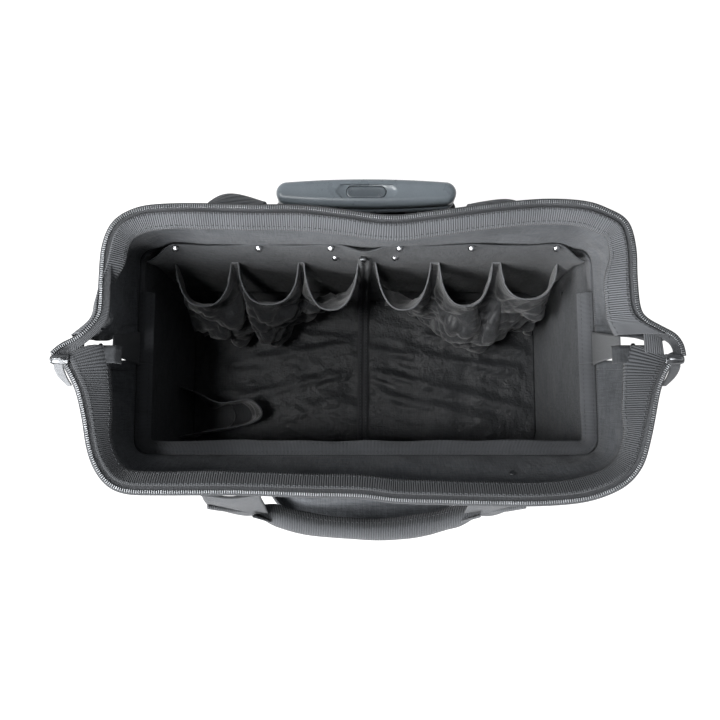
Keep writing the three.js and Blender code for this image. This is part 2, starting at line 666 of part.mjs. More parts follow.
function addTrolleyMounts() {
  const frontY = bodyHalfDepth + baseWall + 2 * seatGap;
  const rearY = trolleyY + trolleyDepth / 2;
  const depth = rearY - frontY;
  const midY = (rearY + frontY) / 2;
  const moulding = ({ width, height, bottomZ }) =>
    slab(roundedRect(width, depth, mouldingCorner), height, { bevel: mouldingBevel, bottomZ })
      .translate(0, midY, 0);
  const sockets = (fromZ, toZ) => sides.map(([, side]) =>
    slab(roundedRect(outerSize.width + 2 * seatGap, outerSize.depth + 2 * seatGap, outerSize.depth / 2 - 1),
      toZ - fromZ, { bottomZ: fromZ, curveSegments: 2 }).translate(tubeX(side), trolleyY, 0));
  const collarTop = collar.bottomZ + collar.height;
  const slot = stadium(tubeSpacing - outerSize.width - 2 * lightening.fromTube, lightening.width);
  const window = slab(slot, collar.height + 2, { bottomZ: collar.bottomZ - 1 }).translate(0, trolleyY, 0);
  add('trolley_collar',
    cut(moulding(collar), window, ...sockets(collar.bottomZ - 1, collarTop + 1)), basePlastic);
  const bracketTop = bracket.bottomZ + bracket.height;
  const hollow = slab(slot, bracket.height, { bottomZ: bracket.bottomZ + lightening.floor })
    .translate(0, trolleyY, 0);
  add('trolley_bracket',
    cut(moulding(bracket), hollow, ...sockets(outerTube.bottomZ - seatGap, bracketTop + 1)), basePlastic);
  const sleeveFrom = bracketTop + seatGap;
  const sleeveTo = collar.bottomZ - seatGap;
  const cover = roundedRect(collar.width, depth, mouldingCorner);
  cover.holes.push(roundedRect(
    collar.width - 2 * sleeveCloth, depth - 2 * sleeveCloth, mouldingCorner - sleeveCloth));
  add('trolley_sleeve',
    slab(cover, sleeveTo - sleeveFrom, { bottomZ: sleeveFrom }).translate(0, midY, 0),
    charcoalCloth);
}

function addTubes() {
  const innerTop = gripBottomZ + tubeInGrip;
  for (const [name, side] of sides) {
    const place = [tubeX(side), trolleyY, 0];
    const outer = tube(outerSize.width, outerSize.depth, tubeWall, outerTube.bottomZ, outerTube.topZ);
    add(`outer_tube_${name}`, outer, aluminium, place);
    const middle = tube(midSize.width, midSize.depth, tubeWall, midTube.bottomZ, midTube.topZ);
    add(`mid_tube_${name}`, middle, aluminium, place);
    const boltZ = innerTube.bottomZ + bolt.aboveTubeEnd;
    const boltEnd = innerTube.width / 2 - seatGap;
    const boltSpan = [side * boltEnd, side * (boltEnd - bolt.length)].sort((a, b) => a - b);
    const boltHole = rodX(bolt.radius + seatGap, side < 0 ? -innerTube.width : 0,
      side < 0 ? 0 : innerTube.width, 0, boltZ, 12);
    const inner = tube(innerTube.width, innerTube.depth, tubeWall, innerTube.bottomZ, innerTop);
    add(`inner_tube_${name}`, cut(inner, boltHole), aluminium, place);
    add(`lock_bolt_${name}`, rodX(bolt.radius, ...boltSpan, 0, boltZ, 12), steel, place);
  }
}

// Grip: two moulded shells round the tube ends, with the release button, its yoke and return spring
function addGrip() {
  const half = gripLength / 2 - gripEnd;
  const outline = new THREE.Shape();
  outline.moveTo(-half, -gripEnd);
  outline.quadraticCurveTo(0, -gripEnd - 2 * gripBow, half, -gripEnd);
  outline.absarc(half, 0, gripEnd, -Math.PI / 2, Math.PI / 2);
  outline.quadraticCurveTo(0, gripEnd + 2 * gripBow, -half, gripEnd);
  outline.absarc(-half, 0, gripEnd, Math.PI / 2, 1.5 * Math.PI);
  const block = slab(outline, gripHeight, { bevel: gripBevel, curveSegments: 6 });
  const splitZ = gripHeight / 2;
  const reach = gripLength;
  const upperHalf = boxFrom([-reach, -reach, splitZ + seatGap / 2], [reach, reach, gripHeight + 1]);
  const lowerHalf = boxFrom([-reach, -reach, -1], [reach, reach, splitZ - seatGap / 2]);
  const buttonTop = gripHeight - button.topDrop;
  const yokeTop = buttonTop - button.height - seatGap;
  const yokeBottom = yokeTop - yoke.height;
  const cavityBottom = yokeBottom - buttonTravel - yoke.roomBelow;
  const cavityTop = buttonTop - button.height + button.flange + seatGap;
  const yokeLength = tubeSpacing + 2 * yoke.pastTube;
  const cavityShape = roundedRect(
    yokeLength + 2 * yoke.roomEnd, yoke.width + 2 * yoke.roomSide, yoke.corner + 1);
  const cavity = slab(cavityShape, cavityTop - cavityBottom, { bottomZ: cavityBottom });
  const well = slab(stadium(button.length + 2 * seatGap, button.width + 2 * seatGap), gripHeight,
    { bottomZ: splitZ });
  const scoop = new THREE.SphereGeometry(1, 28, 10)
    .scale(dish.halfLength, dish.halfWidth, dish.depth)
    .translate(0, 0, gripHeight);
  const place = [0, trolleyY, gripBottomZ];
  add('grip_top', cut(common(block, upperHalf), scoop, well, cavity), gripPlastic, place);
  const sockets = sides.map(([, side]) =>
    slab(roundedRect(innerTube.width + 2 * seatGap, innerTube.depth + 2 * seatGap, innerTube.depth / 2 - 1),
      tubeInGrip + seatGap + 1, { bottomZ: -1, curveSegments: 2 }).translate(tubeX(side), 0, 0));
  const rodHoles = sides.map(([, side]) => rodZ(rodRadius + rodRoom, tubeX(side), 0, 0, gripHeight));
  add('grip_bottom', cut(common(block, lowerHalf), cavity, ...sockets, ...rodHoles), gripPlastic, place);
  const cap = slab(stadium(button.length, button.width), button.height,
    { bevel: buttonBevel, bottomZ: buttonTop - button.height });
  const flangeShape = stadium(button.length + 2 * button.flangeEnd, button.width + 2 * button.flangeSide);
  const flange = slab(flangeShape, button.flange, { bottomZ: buttonTop - button.height });
  add('release_button', join(cap, flange), buttonPlastic, place);
  const bar = slab(roundedRect(yokeLength, yoke.width, yoke.corner), yoke.height, { bottomZ: yokeBottom });
  const boltTop = innerTube.bottomZ + bolt.aboveTubeEnd + bolt.radius;
  const rodEnd = boltTop + buttonTravel + rodRoom - gripBottomZ;
  const rods = sides.map(([, side]) => rodZ(rodRadius, tubeX(side), 0, rodEnd, yokeTop - 1));
  add('release_yoke', join(bar, ...rods), steel, place);
  const coilBottom = cavityBottom + spring.wire + seatGap;
  const rise = yokeBottom - spring.wire - seatGap - coilBottom;
  class Coil extends THREE.Curve {
    getPoint(share, target = new THREE.Vector3()) {
      const angle = 2 * Math.PI * spring.turns * share;
      return target.set(spring.radius * Math.cos(angle), spring.radius * Math.sin(angle), rise * share);
    }
  }
  const wire = new THREE.Shape();
  wire.absarc(0, 0, spring.wire, 0, 2 * Math.PI);
  const coil = new THREE.ExtrudeGeometry(wire, {
    extrudePath: new Coil(), steps: 8 * spring.turns, curveSegments: 3, bevelEnabled: false,
  }).translate(0, 0, coilBottom);
  add('button_spring', coil, steel, place);
}

addBody();
addBase();
addWheels();
addMouthHalf('front', frontRim);
addMouthHalf('rear', rearRim);
addPivotsAndZipEnds();
addPockets();
addHandles();
addTrolleyMounts();
addTubes();
addGrip();

// The origin is the middle of the footprint, on the floor
const extent = new THREE.Box3().setFromObject(bag, true);
const middle = extent.getCenter(new THREE.Vector3());
bag.position.set(-middle.x, -middle.y, -extent.min.z);

export default bag;
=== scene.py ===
import bisect
import math

import bmesh
import bpy
from mathutils import Matrix, Vector, noise
from mathutils.bvhtree import BVHTree


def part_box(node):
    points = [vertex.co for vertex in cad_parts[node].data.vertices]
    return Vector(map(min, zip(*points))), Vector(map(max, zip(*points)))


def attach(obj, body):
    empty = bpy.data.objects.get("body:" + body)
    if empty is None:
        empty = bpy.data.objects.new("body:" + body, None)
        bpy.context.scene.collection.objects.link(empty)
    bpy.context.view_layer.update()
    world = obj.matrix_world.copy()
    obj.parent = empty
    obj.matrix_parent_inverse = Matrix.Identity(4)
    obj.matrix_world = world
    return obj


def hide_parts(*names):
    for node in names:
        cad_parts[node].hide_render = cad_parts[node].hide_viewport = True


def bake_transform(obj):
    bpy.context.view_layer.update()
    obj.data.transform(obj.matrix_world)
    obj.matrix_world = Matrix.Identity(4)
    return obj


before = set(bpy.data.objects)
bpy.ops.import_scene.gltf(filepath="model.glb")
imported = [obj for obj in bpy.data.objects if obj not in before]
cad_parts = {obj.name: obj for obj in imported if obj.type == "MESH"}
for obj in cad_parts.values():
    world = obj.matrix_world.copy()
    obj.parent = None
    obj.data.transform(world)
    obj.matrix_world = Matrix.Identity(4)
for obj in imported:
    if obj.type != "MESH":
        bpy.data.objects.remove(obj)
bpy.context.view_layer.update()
scene = bpy.context.scene

SIDES = {"left": -1, "right": 1}
UP = Vector((0, 0, 1))


def middle(node):
    low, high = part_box(node)
    return (low + high) / 2


# Sizes read from the frame
panel_low, panel_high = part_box("front_panel")
rear_panel_low, rear_panel_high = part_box("rear_panel")
lining_low, lining_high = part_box("rear_lining")
half_width = panel_high.x
front_y, rear_y = panel_low.y, rear_panel_high.y
foot_z, shoulder_z = panel_low.z, panel_high.z
base_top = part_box("base_tray")[1].z
rim_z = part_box("front_zip")[1].z
flap_top_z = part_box("front_flap")[1].z
pivot = middle("pivot_rivet_right")
floor_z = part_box("floor_board")[1].z
lining_y, lining_half, lining_top_z = lining_low.y, lining_high.x, lining_high.z
pocket_top_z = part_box("tool_pockets_left")[1].z

# Sizes of the sewn work
WALL = 0.003
BODY_CORNER = 0.038
SHOULDER_CORNER = 0.016
HEM_Z = rim_z - 0.025
SLIT_FRONT_Y = pivot.y + 0.0031
SLIT_REAR_Y = pivot.y + 0.0105
STITCH_LENGTH, STITCH_WIDTH, STITCH_PITCH = 0.0031, 0.0007, 0.0042
STITCH_LIFT = 0.0008
ZIP_PITCH = 0.0019
LEG_X = 0.117
LEG_HALF = 0.025
LINING_TOP_Y = 0.1152
LINING_TOP_Z = 0.3105

# Thicknesses of the cloths and tapes, and where a thickness lies when it is shared by both faces
THIN_CLOTH, POUCH_CLOTH, FLAP_CLOTH, HEAVY_CLOTH = 0.0012, 0.0011, 0.0018, 0.0016
THIN_TAPE, BAND_TAPE, BINDING_TAPE, LEG_WEBBING = 0.0013, 0.0014, 0.0018, 0.0024
CENTRED = 0.0

# The two halves of the mouth: their side of the bag, where they start and end, and their slack
MOUTHS = {
    "front": {"side": -1, "foot_y": front_y, "end": SLIT_FRONT_Y, "slant": 0.0, "body": "front_frame",
              "panel_end": panel_high.y, "rim_half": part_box("front_zip")[1].x, "clear": -1.0,
              "side_slack": 0.001, "face_slack": 0.004},
    "rear": {"side": 1, "foot_y": rear_y, "end": SLIT_REAR_Y, "slant": 0.017, "body": "rear_frame",
             "panel_end": rear_panel_low.y, "rim_half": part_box("rear_zip")[1].x, "clear": 0.0015,
             "side_slack": 0.003, "face_slack": -0.003},
}


def clamp(share):
    return min(max(share, 0.0), 1.0)


def ease(share):
    """A soft step from 0 to 1"""
    share = clamp(share)
    return share * share * (3 - 2 * share)


def blend_of(low, high, share):
    return low + (high - low) * share


def swell(share):
    """Half a wave: nothing at both ends and full in the middle"""
    return math.sin(math.pi * share)


def even(steps):
    """Even shares from 0 to 1"""
    return [step / steps for step in range(steps + 1)]


# Lines in plan
class Line:
    """A line through points, read by its length share; its left side is the inside of the bag"""

    def __init__(self, points, closed=False):
        self.points = [Vector(point) for point in points]
        self.closed = closed
        if closed:
            self.points.append(self.points[0].copy())
        self.marks = [0.0]
        for one, other in zip(self.points, self.points[1:]):
            self.marks.append(self.marks[-1] + (other - one).length)
        self.length = self.marks[-1]

    def at(self, share):
        share = share % 1.0 if self.closed and share != 1.0 else clamp(share)
        reach = share * self.length
        index = min(bisect.bisect_right(self.marks, reach), len(self.points) - 1) - 1
        span = max(self.marks[index + 1] - self.marks[index], 1e-9)
        return self.points[index].lerp(self.points[index + 1], (reach - self.marks[index]) / span)

    def heading(self, share):
        step = 0.003 / self.length
        if not self.closed:
            share = min(max(share, step), 1 - step)
        return (self.at(share + step) - self.at(share - step)).normalized()

    def inward(self, share):
        heading = self.heading(share)
        return Vector((-heading.y, heading.x, 0)).normalized()

    def raised(self, z):
        """The same closed line at a height"""
        return Line([spot + UP * z for spot in self.points[:-1]], closed=True)


def arc(centre, radius, start, end, steps=14):
    turns = [math.radians(blend_of(start, end, share)) for share in even(steps)]
    return [Vector((centre[0] + radius * math.cos(t), centre[1] + radius * math.sin(t), 0)) for t in turns]


def straight(start, end, steps=16):
    return [Vector(start).lerp(Vector(end), share) for share in even(steps)[:-1]]


def horseshoe(side, half, face, corner, end):
    """One half of the bag in plan, from arm end to arm end"""
    turn = 180 if side < 0 else 0
    bend = face - side * corner
    flat = side * (half - corner)
    far_end = Vector((-side * half, end, 0))
    points = straight((side * half, end, 0), (side * half, bend, 0))
    points += arc((flat, bend), corner, turn, turn + 90)
    points += straight((flat, face, 0), (-flat, face, 0), 40)[1:]
    points += arc((-flat, bend), corner, turn + 90, turn + 180)
    points += straight((-side * half, bend, 0), far_end)[1:] + [far_end]
    return Line(points)


def body_loop(inset=0.0, corner=BODY_CORNER):
    """The whole body in plan, seen from above anticlockwise from the middle of the front"""
    half, front, rear, corner = half_width - inset, front_y + inset, rear_y - inset, corner - inset
    points = straight((0, front, 0), (half - corner, front, 0), 20)
    points += arc((half - corner, front + corner), corner, -90, 0)
    points += arc((half - corner, rear - corner), corner, 0, 90)
    points += arc((corner - half, rear - corner), corner, 90, 180)
    points += arc((corner - half, front + corner), corner, 180, 270)
    return Line(points, closed=True)


def smooth_line(points, steps=8):
    """A soft curve through points"""
    points = [Vector(point) for point in points]
    ends = [2 * points[0] - points[1], *points, 2 * points[-1] - points[-2]]
    line = []
    for a, b, c, d in zip(ends, ends[1:], ends[2:], ends[3:]):
        for t in even(steps)[:-1]:
            line.append(0.5 * (2 * b + (c - a) * t + (2 * a - 5 * b + 4 * c - d) * t * t
                               + (3 * b - a - 3 * c + d) * t * t * t))
    return Line(line + [points[-1]])


def eased(line, steps, passes):
    """A line with even spacing and its kinks worked out"""
    spots = [line.at(share) for share in even(steps)]
    for _ in range(passes):
        middles = [(a + 2 * b + c) / 4 for a, b, c in zip(spots, spots[1:], spots[2:])]
        spots = [spots[0], *middles, spots[-1]]
    return Line(spots)


def profile_at(table, share):
    """A soft curve through pairs of share and value"""
    for (a, low), (b, high) in zip(table, table[1:]):
        if share <= b:
            part = (share - a) / (b - a)
            return blend_of(low, high, ease(part) * 0.5 + part * 0.5)
    return table[-1][1]


# Meshes
def outward(mesh):
    """The mesh with all its faces turned the same way"""
    bmesh.ops.recalc_face_normals(mesh, faces=mesh.faces)
    return mesh


def lay_threads(mesh, place):
    """Thread directions in metres, from a function of each vertex"""
    threads = mesh.loops.layers.uv.new("threads")
    for face in mesh.faces:
        for loop in face.loops:
            loop[threads].uv = place(loop.vert)
    return mesh


def woven(columns, rows, place, joined=False, flat=False):
    """A sheet of columns by rows put in place by a function of two shares, with its threads in metres"""
    mesh = bmesh.new()
    bmesh.ops.create_grid(mesh, x_segments=columns, y_segments=rows, size=0.5)
    shares = {vert: (vert.co.x + 0.5, vert.co.y + 0.5) for vert in mesh.verts}
    across = Line([place(share, 0.5) for share in even(24)]).length
    along = Line([place(0.5, share) for share in even(24)]).length
    for vert, share in shares.items():
        vert.co = place(*share)
    if flat:
        lay_threads(mesh, lambda vert: vert.co.xy)
    else:
        lay_threads(mesh, lambda vert: (shares[vert][0] * across, shares[vert][1] * along))
    if joined:
        bmesh.ops.remove_doubles(mesh, verts=mesh.verts, dist=1e-6)
    mesh.normal_update()
    return mesh


def shift(mesh, push):
    """Moves a mesh along its normals by a function of each spot"""
    mesh.normal_update()
    moves = [vert.normal * push(vert.co) for vert in mesh.verts]
    for vert, move in zip(mesh.verts, moves):
        vert.co += move
    mesh.normal_update()


def rumple(mesh, depth, size, seed, weight=lambda spot: 1.0, stretch=(1, 1, 1)):
    """Soft creases along the normals"""

    def push(spot):
        place = Vector(spot[k] * stretch[k] / size + seed * (k + 1.7) for k in range(3))
        return depth * weight(spot) * noise.noise(place)

    shift(mesh, push)


def ridges(spot, size, seed):
    """Sharp-crested creases"""
    value = noise.noise(Vector((spot.x / size + seed, spot.y / size + 2 * seed, spot.z / size)))
    return 1 - 2 * min(abs(value) * 2.2, 1.0)


def stand_folds(mesh, folds):
    """Raises soft ridges along straight folds, towards the inside of the bag"""
    mesh.normal_update()
    for start, end, height, width in folds:
        start, end = Vector(start), Vector(end)
        run = end - start
        for vert in mesh.verts:
            share = (vert.co - start).dot(run) / run.length_squared
            reach = (vert.co - start - run * clamp(share)).length
            if reach < width * 3:
                fade = ease((share + 0.25) / 0.35) * ease((1.2 - share) / 0.3)
                vert.co -= vert.normal * height * fade * math.exp(-(reach / width) ** 2)
    mesh.normal_update()


def piece(name, mesh, finish, body=None, stands_for=(), sharp=None, inner=None):
    """A named object from a mesh, with what it rides on and the nodes that it stands for"""
    data = bpy.data.meshes.new(name)
    mesh.to_mesh(data)
    mesh.free()
    data.shade_smooth()
    if sharp:
        data.set_sharp_from_angle(angle=math.radians(sharp))
    obj = bpy.data.objects.new(name, data)
    scene.collection.objects.link(obj)
    data.materials.append(finish)
    if inner:
        data.materials.append(inner)
    if body:
        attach(obj, body)
    if stands_for:
        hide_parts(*stands_for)
    return obj


def fold(obj, half, stands_for=()):
    """Cloth from the body to one mouth frame, with its place baked into its mesh"""
    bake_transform(obj)
    if stands_for:
        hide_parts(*stands_for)
    return obj


def thicken(obj, thickness, offset=-1.0, inner=False):
    solid = obj.modifiers.new("thickness", "SOLIDIFY")
    solid.thickness = thickness
    solid.offset = offset
    if inner:
        solid.material_offset = 1
    return obj


def ribbon(line, section, columns, rows):
    """A strip along a line; its section is points of distance inwards and height"""
    across = Line([(inset, height, 0) for inset, height in section])

    def place(u, w):
        inset, height, _ = across.at(w)
        return line.at(u) + line.inward(u) * inset + UP * height

    return woven(columns, rows, place)


def cord(line, columns, sides, spread):
    """A round cord along a line; spread gives the two half axes of its section"""

    def place(u, w):
        turn = 2 * math.pi * w
        one, other = spread(u)
        return line.at(u) + math.cos(turn) * one + math.sin(turn) * other

    return woven(columns, sides, place, joined=True)


def welt(line, radius):
    """A round cord sewn along a closed line"""
    return cord(line, 320, 10, lambda u: (UP * radius, -line.inward(u) * radius))


def edge_cord(spots, radius, columns):
    """A thin folded edge along a free line of cloth"""
    line = Line(spots)

    def spread(u):
        across = line.heading(u).cross(UP).normalized()
        return across * radius, across.cross(line.heading(u)) * radius * 1.5

    return outward(cord(line, columns, 8, spread))


def join(mesh, *parts):
    """Puts other meshes into a mesh"""
    for part in parts:
        shape = bpy.data.meshes.new("part")
        part.to_mesh(shape)
        part.free()
        mesh.from_mesh(shape)
        bpy.data.meshes.remove(shape)
    return mesh


def copies(template, places):
    """One mesh of many copies of a small shape"""
    shape = bpy.data.meshes.new("template")
    template.to_mesh(shape)
    template.free()
    mesh = bmesh.new()
    for place in places:
        before = len(mesh.verts)
        mesh.from_mesh(shape)
        mesh.verts.ensure_lookup_table()
        bmesh.ops.transform(mesh, matrix=place, verts=mesh.verts[before:])
    bpy.data.meshes.remove(shape)
    return mesh


def axes(spot, x_axis, z_axis):
    """The place of a shape whose X and Z run along two directions"""
    x_axis = x_axis.normalized()
    y_axis = z_axis.cross(x_axis).normalized()
    z_axis = x_axis.cross(y_axis)
    matrix = Matrix((x_axis, y_axis, z_axis)).transposed().to_4x4()
    matrix.translation = spot
    return matrix


def sew(name, spots, faces, body=None, finish=None, pitch=STITCH_PITCH):
    """A row of stitches through spots, each facing the way that its face points"""
    line = Line(spots)
    count = max(int(line.length / pitch), 1)
    places = []
    for index in range(count):
        share = (index + 0.5) / count
        mark = bisect.bisect_right(line.marks, share * line.length) - 1
        face = faces[min(mark, len(faces) - 1)]
        places.append(axes(line.at(share), line.heading(share), face))
    stitch = bmesh.new()
    bmesh.ops.create_icosphere(stitch, subdivisions=1, radius=1.0)
    size = (STITCH_LENGTH / 2, STITCH_WIDTH / 2, STITCH_WIDTH / 2)
    bmesh.ops.scale(stitch, vec=size, verts=stitch.verts)
    return piece(name, copies(stitch, places), finish or thread, body)


def round_edges(mesh, edges, offset, segments=2):
    bmesh.ops.bevel(mesh, geom=edges, offset=offset, segments=segments, profile=0.5,
                    affect="EDGES", material=-1)


def draw_out(mesh, way):
    """Gives the faces of a flat mesh a thickness"""
    made = bmesh.ops.extrude_face_region(mesh, geom=mesh.faces[:])["geom"]
    moved = [item for item in made if isinstance(item, bmesh.types.BMVert)]
    bmesh.ops.translate(mesh, vec=way, verts=moved)


def box_mesh(size, spot):
    mesh = bmesh.new()
    bmesh.ops.create_cube(mesh, size=1.0)
    bmesh.ops.scale(mesh, vec=size, verts=mesh.verts)
    bmesh.ops.translate(mesh, vec=spot, verts=mesh.verts)
    return mesh


def block(size, bevel, segments=2, spot=(0, 0, 0)):
    mesh = box_mesh(size, spot)
    round_edges(mesh, mesh.edges, bevel, segments)
    return mesh


def turned(profile, centre, axis, steps=64):
    """A revolved piece from half-profile points of distance along the axis and radius"""
    side = UP if abs(axis[2]) < 0.5 else Vector((1, 0, 0))
    mesh = bmesh.new()
    spots = [Vector(centre) + Vector(axis) * along + side * radius for along, radius in profile]
    verts = [mesh.verts.new(spot) for spot in spots]
    edges = [mesh.edges.new(pair) for pair in zip(verts, verts[1:])]
    bmesh.ops.spin(mesh, geom=[*verts, *edges], cent=centre, axis=axis, angle=2 * math.pi, steps=steps,
                   use_merge=True)
    bmesh.ops.remove_doubles(mesh, verts=mesh.verts, dist=1e-6)
    return outward(mesh)


def rivet_heads(dome, places):
    """Domed heads, each at a spot and facing a way"""
    return join(bmesh.new(), *[turned(dome, spot, way, 20) for spot, way in places])


# Finishes
class Finish:
    """A procedural material, built node by node"""

    def __init__(self, name, roughness, **sockets):
        self.material = bpy.data.materials.new(name)
        self.material.use_nodes = True
        self.nodes = self.material.node_tree.nodes
        self.links = self.material.node_tree.links
        self.surface = self.nodes["Principled BSDF"]
        self.surface.inputs["Roughness"].default_value = roughness
        for socket, value in sockets.items():
            label = socket.replace("_", " ").title().replace("Ior", "IOR")
            self.surface.inputs[label].default_value = value

    def add(self, kind, *feeds, **settings):
        node = self.nodes.new("ShaderNode" + kind)
        for key, value in settings.items():
            setattr(node, key, value)
        for index, feed in enumerate(feeds):
            if isinstance(feed, bpy.types.NodeSocket):
                self.links.new(feed, node.inputs[index])
            elif feed is not None:
                node.inputs[index].default_value = feed
        return node

    def math(self, operation, *feeds):
        return self.add("Math", *feeds, operation=operation).outputs[0]

    def wave(self, value, turns=1.0):
        return self.math("ABSOLUTE", self.math("SINE", self.math("MULTIPLY", value, turns * math.pi)))

    def total(self, *parts):
        """A weighted sum of values"""
        total = None
        for value, weight in parts:
            part = self.math("MULTIPLY", value, weight)
            total = part if total is None else self.math("ADD", total, part)
        return total

    def noise(self, vector, scale, detail=3.0, roughness=0.5):
        return self.add("TexNoise", vector, None, scale, detail, roughness).outputs[0]

    def spread(self, value, low, high, from_low=0.0, from_high=1.0):
        return self.add("MapRange", value, from_low, from_high, low, high).outputs[0]

    def colours(self, share, dark, light):
        mixed = self.add("Mix", share, data_type="RGBA")
        mixed.inputs[6].default_value = (*dark, 1)
        mixed.inputs[7].default_value = (*light, 1)
        self.links.new(mixed.outputs[2], self.surface.inputs["Base Color"])

    def bump(self, height, strength, distance, under=None):
        node = self.add("Bump", strength, distance)
        self.links.new(height, node.inputs["Height"])
        if under:
            self.links.new(under, node.inputs["Normal"])
        self.links.new(node.outputs[0], self.surface.inputs["Normal"])
        return node.outputs[0]

    def rough(self, value):
        self.links.new(value, self.surface.inputs["Roughness"])

    def place(self):
        return self.add("TexCoord").outputs["Object"]

    def threads(self, across, along):
        spot = self.add("UVMap", uv_map="threads").outputs[0]
        return self.add("VectorMath", spot, (1 / across, 1 / along, 1.0), operation="MULTIPLY").outputs[0]


def cloth_finish(name, dark, light, pitch=0.0009, sheen=0.1, relief=0.35, crumple=0.5,
                 rough=(0.76, 0.95), gloss=0.25):
    """Plain weave with slubby yarn, soft crumples and a little sheen"""
    finish = Finish(name, 0.85, sheen_weight=sheen, sheen_roughness=0.5, specular_ior_level=gloss)
    threads = finish.threads(pitch, pitch)
    parts = finish.add("SeparateXYZ", threads).outputs
    over = finish.add("TexChecker", threads)
    over.inputs["Scale"].default_value = 1.0
    weave = finish.add("Mix", over.outputs["Fac"], None, finish.wave(parts[0]), finish.wave(parts[1]),
                       data_type="FLOAT").outputs[0]
    warp_slub = finish.noise(finish.threads(pitch * 1.7, pitch * 22), 1.0, 3.0)
    weft_slub = finish.noise(finish.threads(pitch * 22, pitch * 1.7), 1.0, 3.0)
    place = finish.place()
    wear = finish.noise(place, 14.0, 5.0, 0.6)
    share = finish.total((weave, 0.2), (warp_slub, 0.4), (weft_slub, 0.4), (wear, 0.35))
    finish.colours(finish.spread(share, 0.0, 1.0, 0.55, 0.87), dark, light)
    finish.rough(finish.spread(wear, *rough, 0.3, 0.7))
    soft = finish.bump(finish.noise(place, 42.0, 6.0, 0.6), crumple, 0.008)
    finish.bump(finish.total((weave, 1.0), (warp_slub, 0.8), (weft_slub, 0.8)), relief, pitch * 0.6, soft)
    return finish.material


def ribbed_finish(name, dark, light, pitch=0.0019):
    """Grosgrain: ribs across the tape and fine yarn along each rib"""
    finish = Finish(name, 0.8, sheen_weight=0.12, sheen_roughness=0.5, specular_ior_level=0.25)
    parts = finish.add("SeparateXYZ", finish.threads(pitch, pitch)).outputs
    place = finish.place()
    wear = finish.noise(place, 26.0, 4.0)
    height = finish.total((finish.wave(parts[0]), 1.0), (finish.wave(parts[1], 3.0), 0.22))
    share = finish.total((height, 0.6), (wear, 0.4))
    finish.colours(finish.spread(share, 0.0, 1.0, 0.15, 0.9), dark, light)
    finish.rough(finish.spread(wear, 0.7, 0.92))
    finish.bump(height, 0.85, pitch * 0.45)
    return finish.material


def moulded_finish(name, dark, light, roughness, grain=900.0, relief=0.12, coat=0.0):
    """Moulded plastic with a fine spark-eroded grain, handling marks and dust"""
    finish = Finish(name, roughness, specular_ior_level=0.45, coat_weight=coat, coat_roughness=0.2)
    place = finish.place()
    fine = finish.noise(place, grain, 2.0)
    marks = finish.noise(place, 38.0, 6.0, 0.65)
    finish.colours(finish.spread(finish.total((fine, 0.4), (marks, 0.6)), 0.0, 1.0, 0.3, 0.7), dark, light)
    finish.rough(finish.spread(marks, roughness - 0.08, roughness + 0.12, 0.3, 0.7))
    finish.bump(fine, relief, 0.0004)
    return finish.material


def metal_finish(name, dark, light, roughness, stretch=(1, 1, 1), scale=300.0):
    """Metal with drawn or tumbled marks"""
    finish = Finish(name, roughness, metallic=1.0)
    run = finish.add("Mapping", finish.place(), None, None, stretch).outputs[0]
    marks = finish.noise(run, scale, 4.0, 0.6)
    stain = finish.noise(finish.place(), 45.0, 3.0)
    finish.colours(finish.spread(stain, 0.0, 1.0, 0.3, 0.7), dark, light)
    finish.rough(finish.spread(marks, roughness - 0.1, roughness + 0.14, 0.3, 0.7))
    finish.bump(marks, 0.1, 0.0002)
    return finish.material


charcoal = cloth_finish("charcoal_cloth", (0.0128, 0.0139, 0.0156), (0.0385, 0.041, 0.0452))
flap_inside = cloth_finish("flap_inside_cloth", (0.032, 0.0348, 0.039), (0.094, 0.0996, 0.109))
lining = cloth_finish("lining_cloth", (0.026, 0.028, 0.031), (0.078, 0.082, 0.089),
                      pitch=0.0007, relief=0.25)
# The lining cloth at about 0.8 of its brightness for the rear wall: painted shade where the front flap
# shades the rear lining
wall_lining_painted_shade = cloth_finish("rear_lining_painted_shade_cloth", (0.022, 0.0235, 0.026), (0.062, 0.0655, 0.071),
                           pitch=0.0007, relief=0.25)
# The lining cloth made glossier, with its colours darkened for painted shade on the floor deep inside the
# bag
floor_lining_painted_shade = cloth_finish("lining_painted_shade_floor", (0.0106, 0.0114, 0.0127), (0.039, 0.041, 0.0447),
                            pitch=0.0007, relief=0.2, crumple=0.7, rough=(0.36, 0.52), gloss=0.5)
pouch = cloth_finish("pouch_cloth", (0.011, 0.0118, 0.013), (0.037, 0.039, 0.0425),
                     pitch=0.0006, sheen=0.25, relief=0.2, rough=(0.42, 0.62), gloss=0.5)
# Much lighter than the pouch cloth that the mouth edges are folded from: a painted highlight along each
# rolled edge
pouch_edge_painted_highlight = cloth_finish("pouch_edge_cloth", (0.075, 0.078, 0.083), (0.15, 0.155, 0.163), pitch=0.0006)
raw_edge = cloth_finish("raw_edge", (0.11, 0.115, 0.122), (0.2, 0.206, 0.215), pitch=0.0008)
grosgrain = ribbed_finish("grosgrain", (0.011, 0.012, 0.0135), (0.074, 0.078, 0.085))
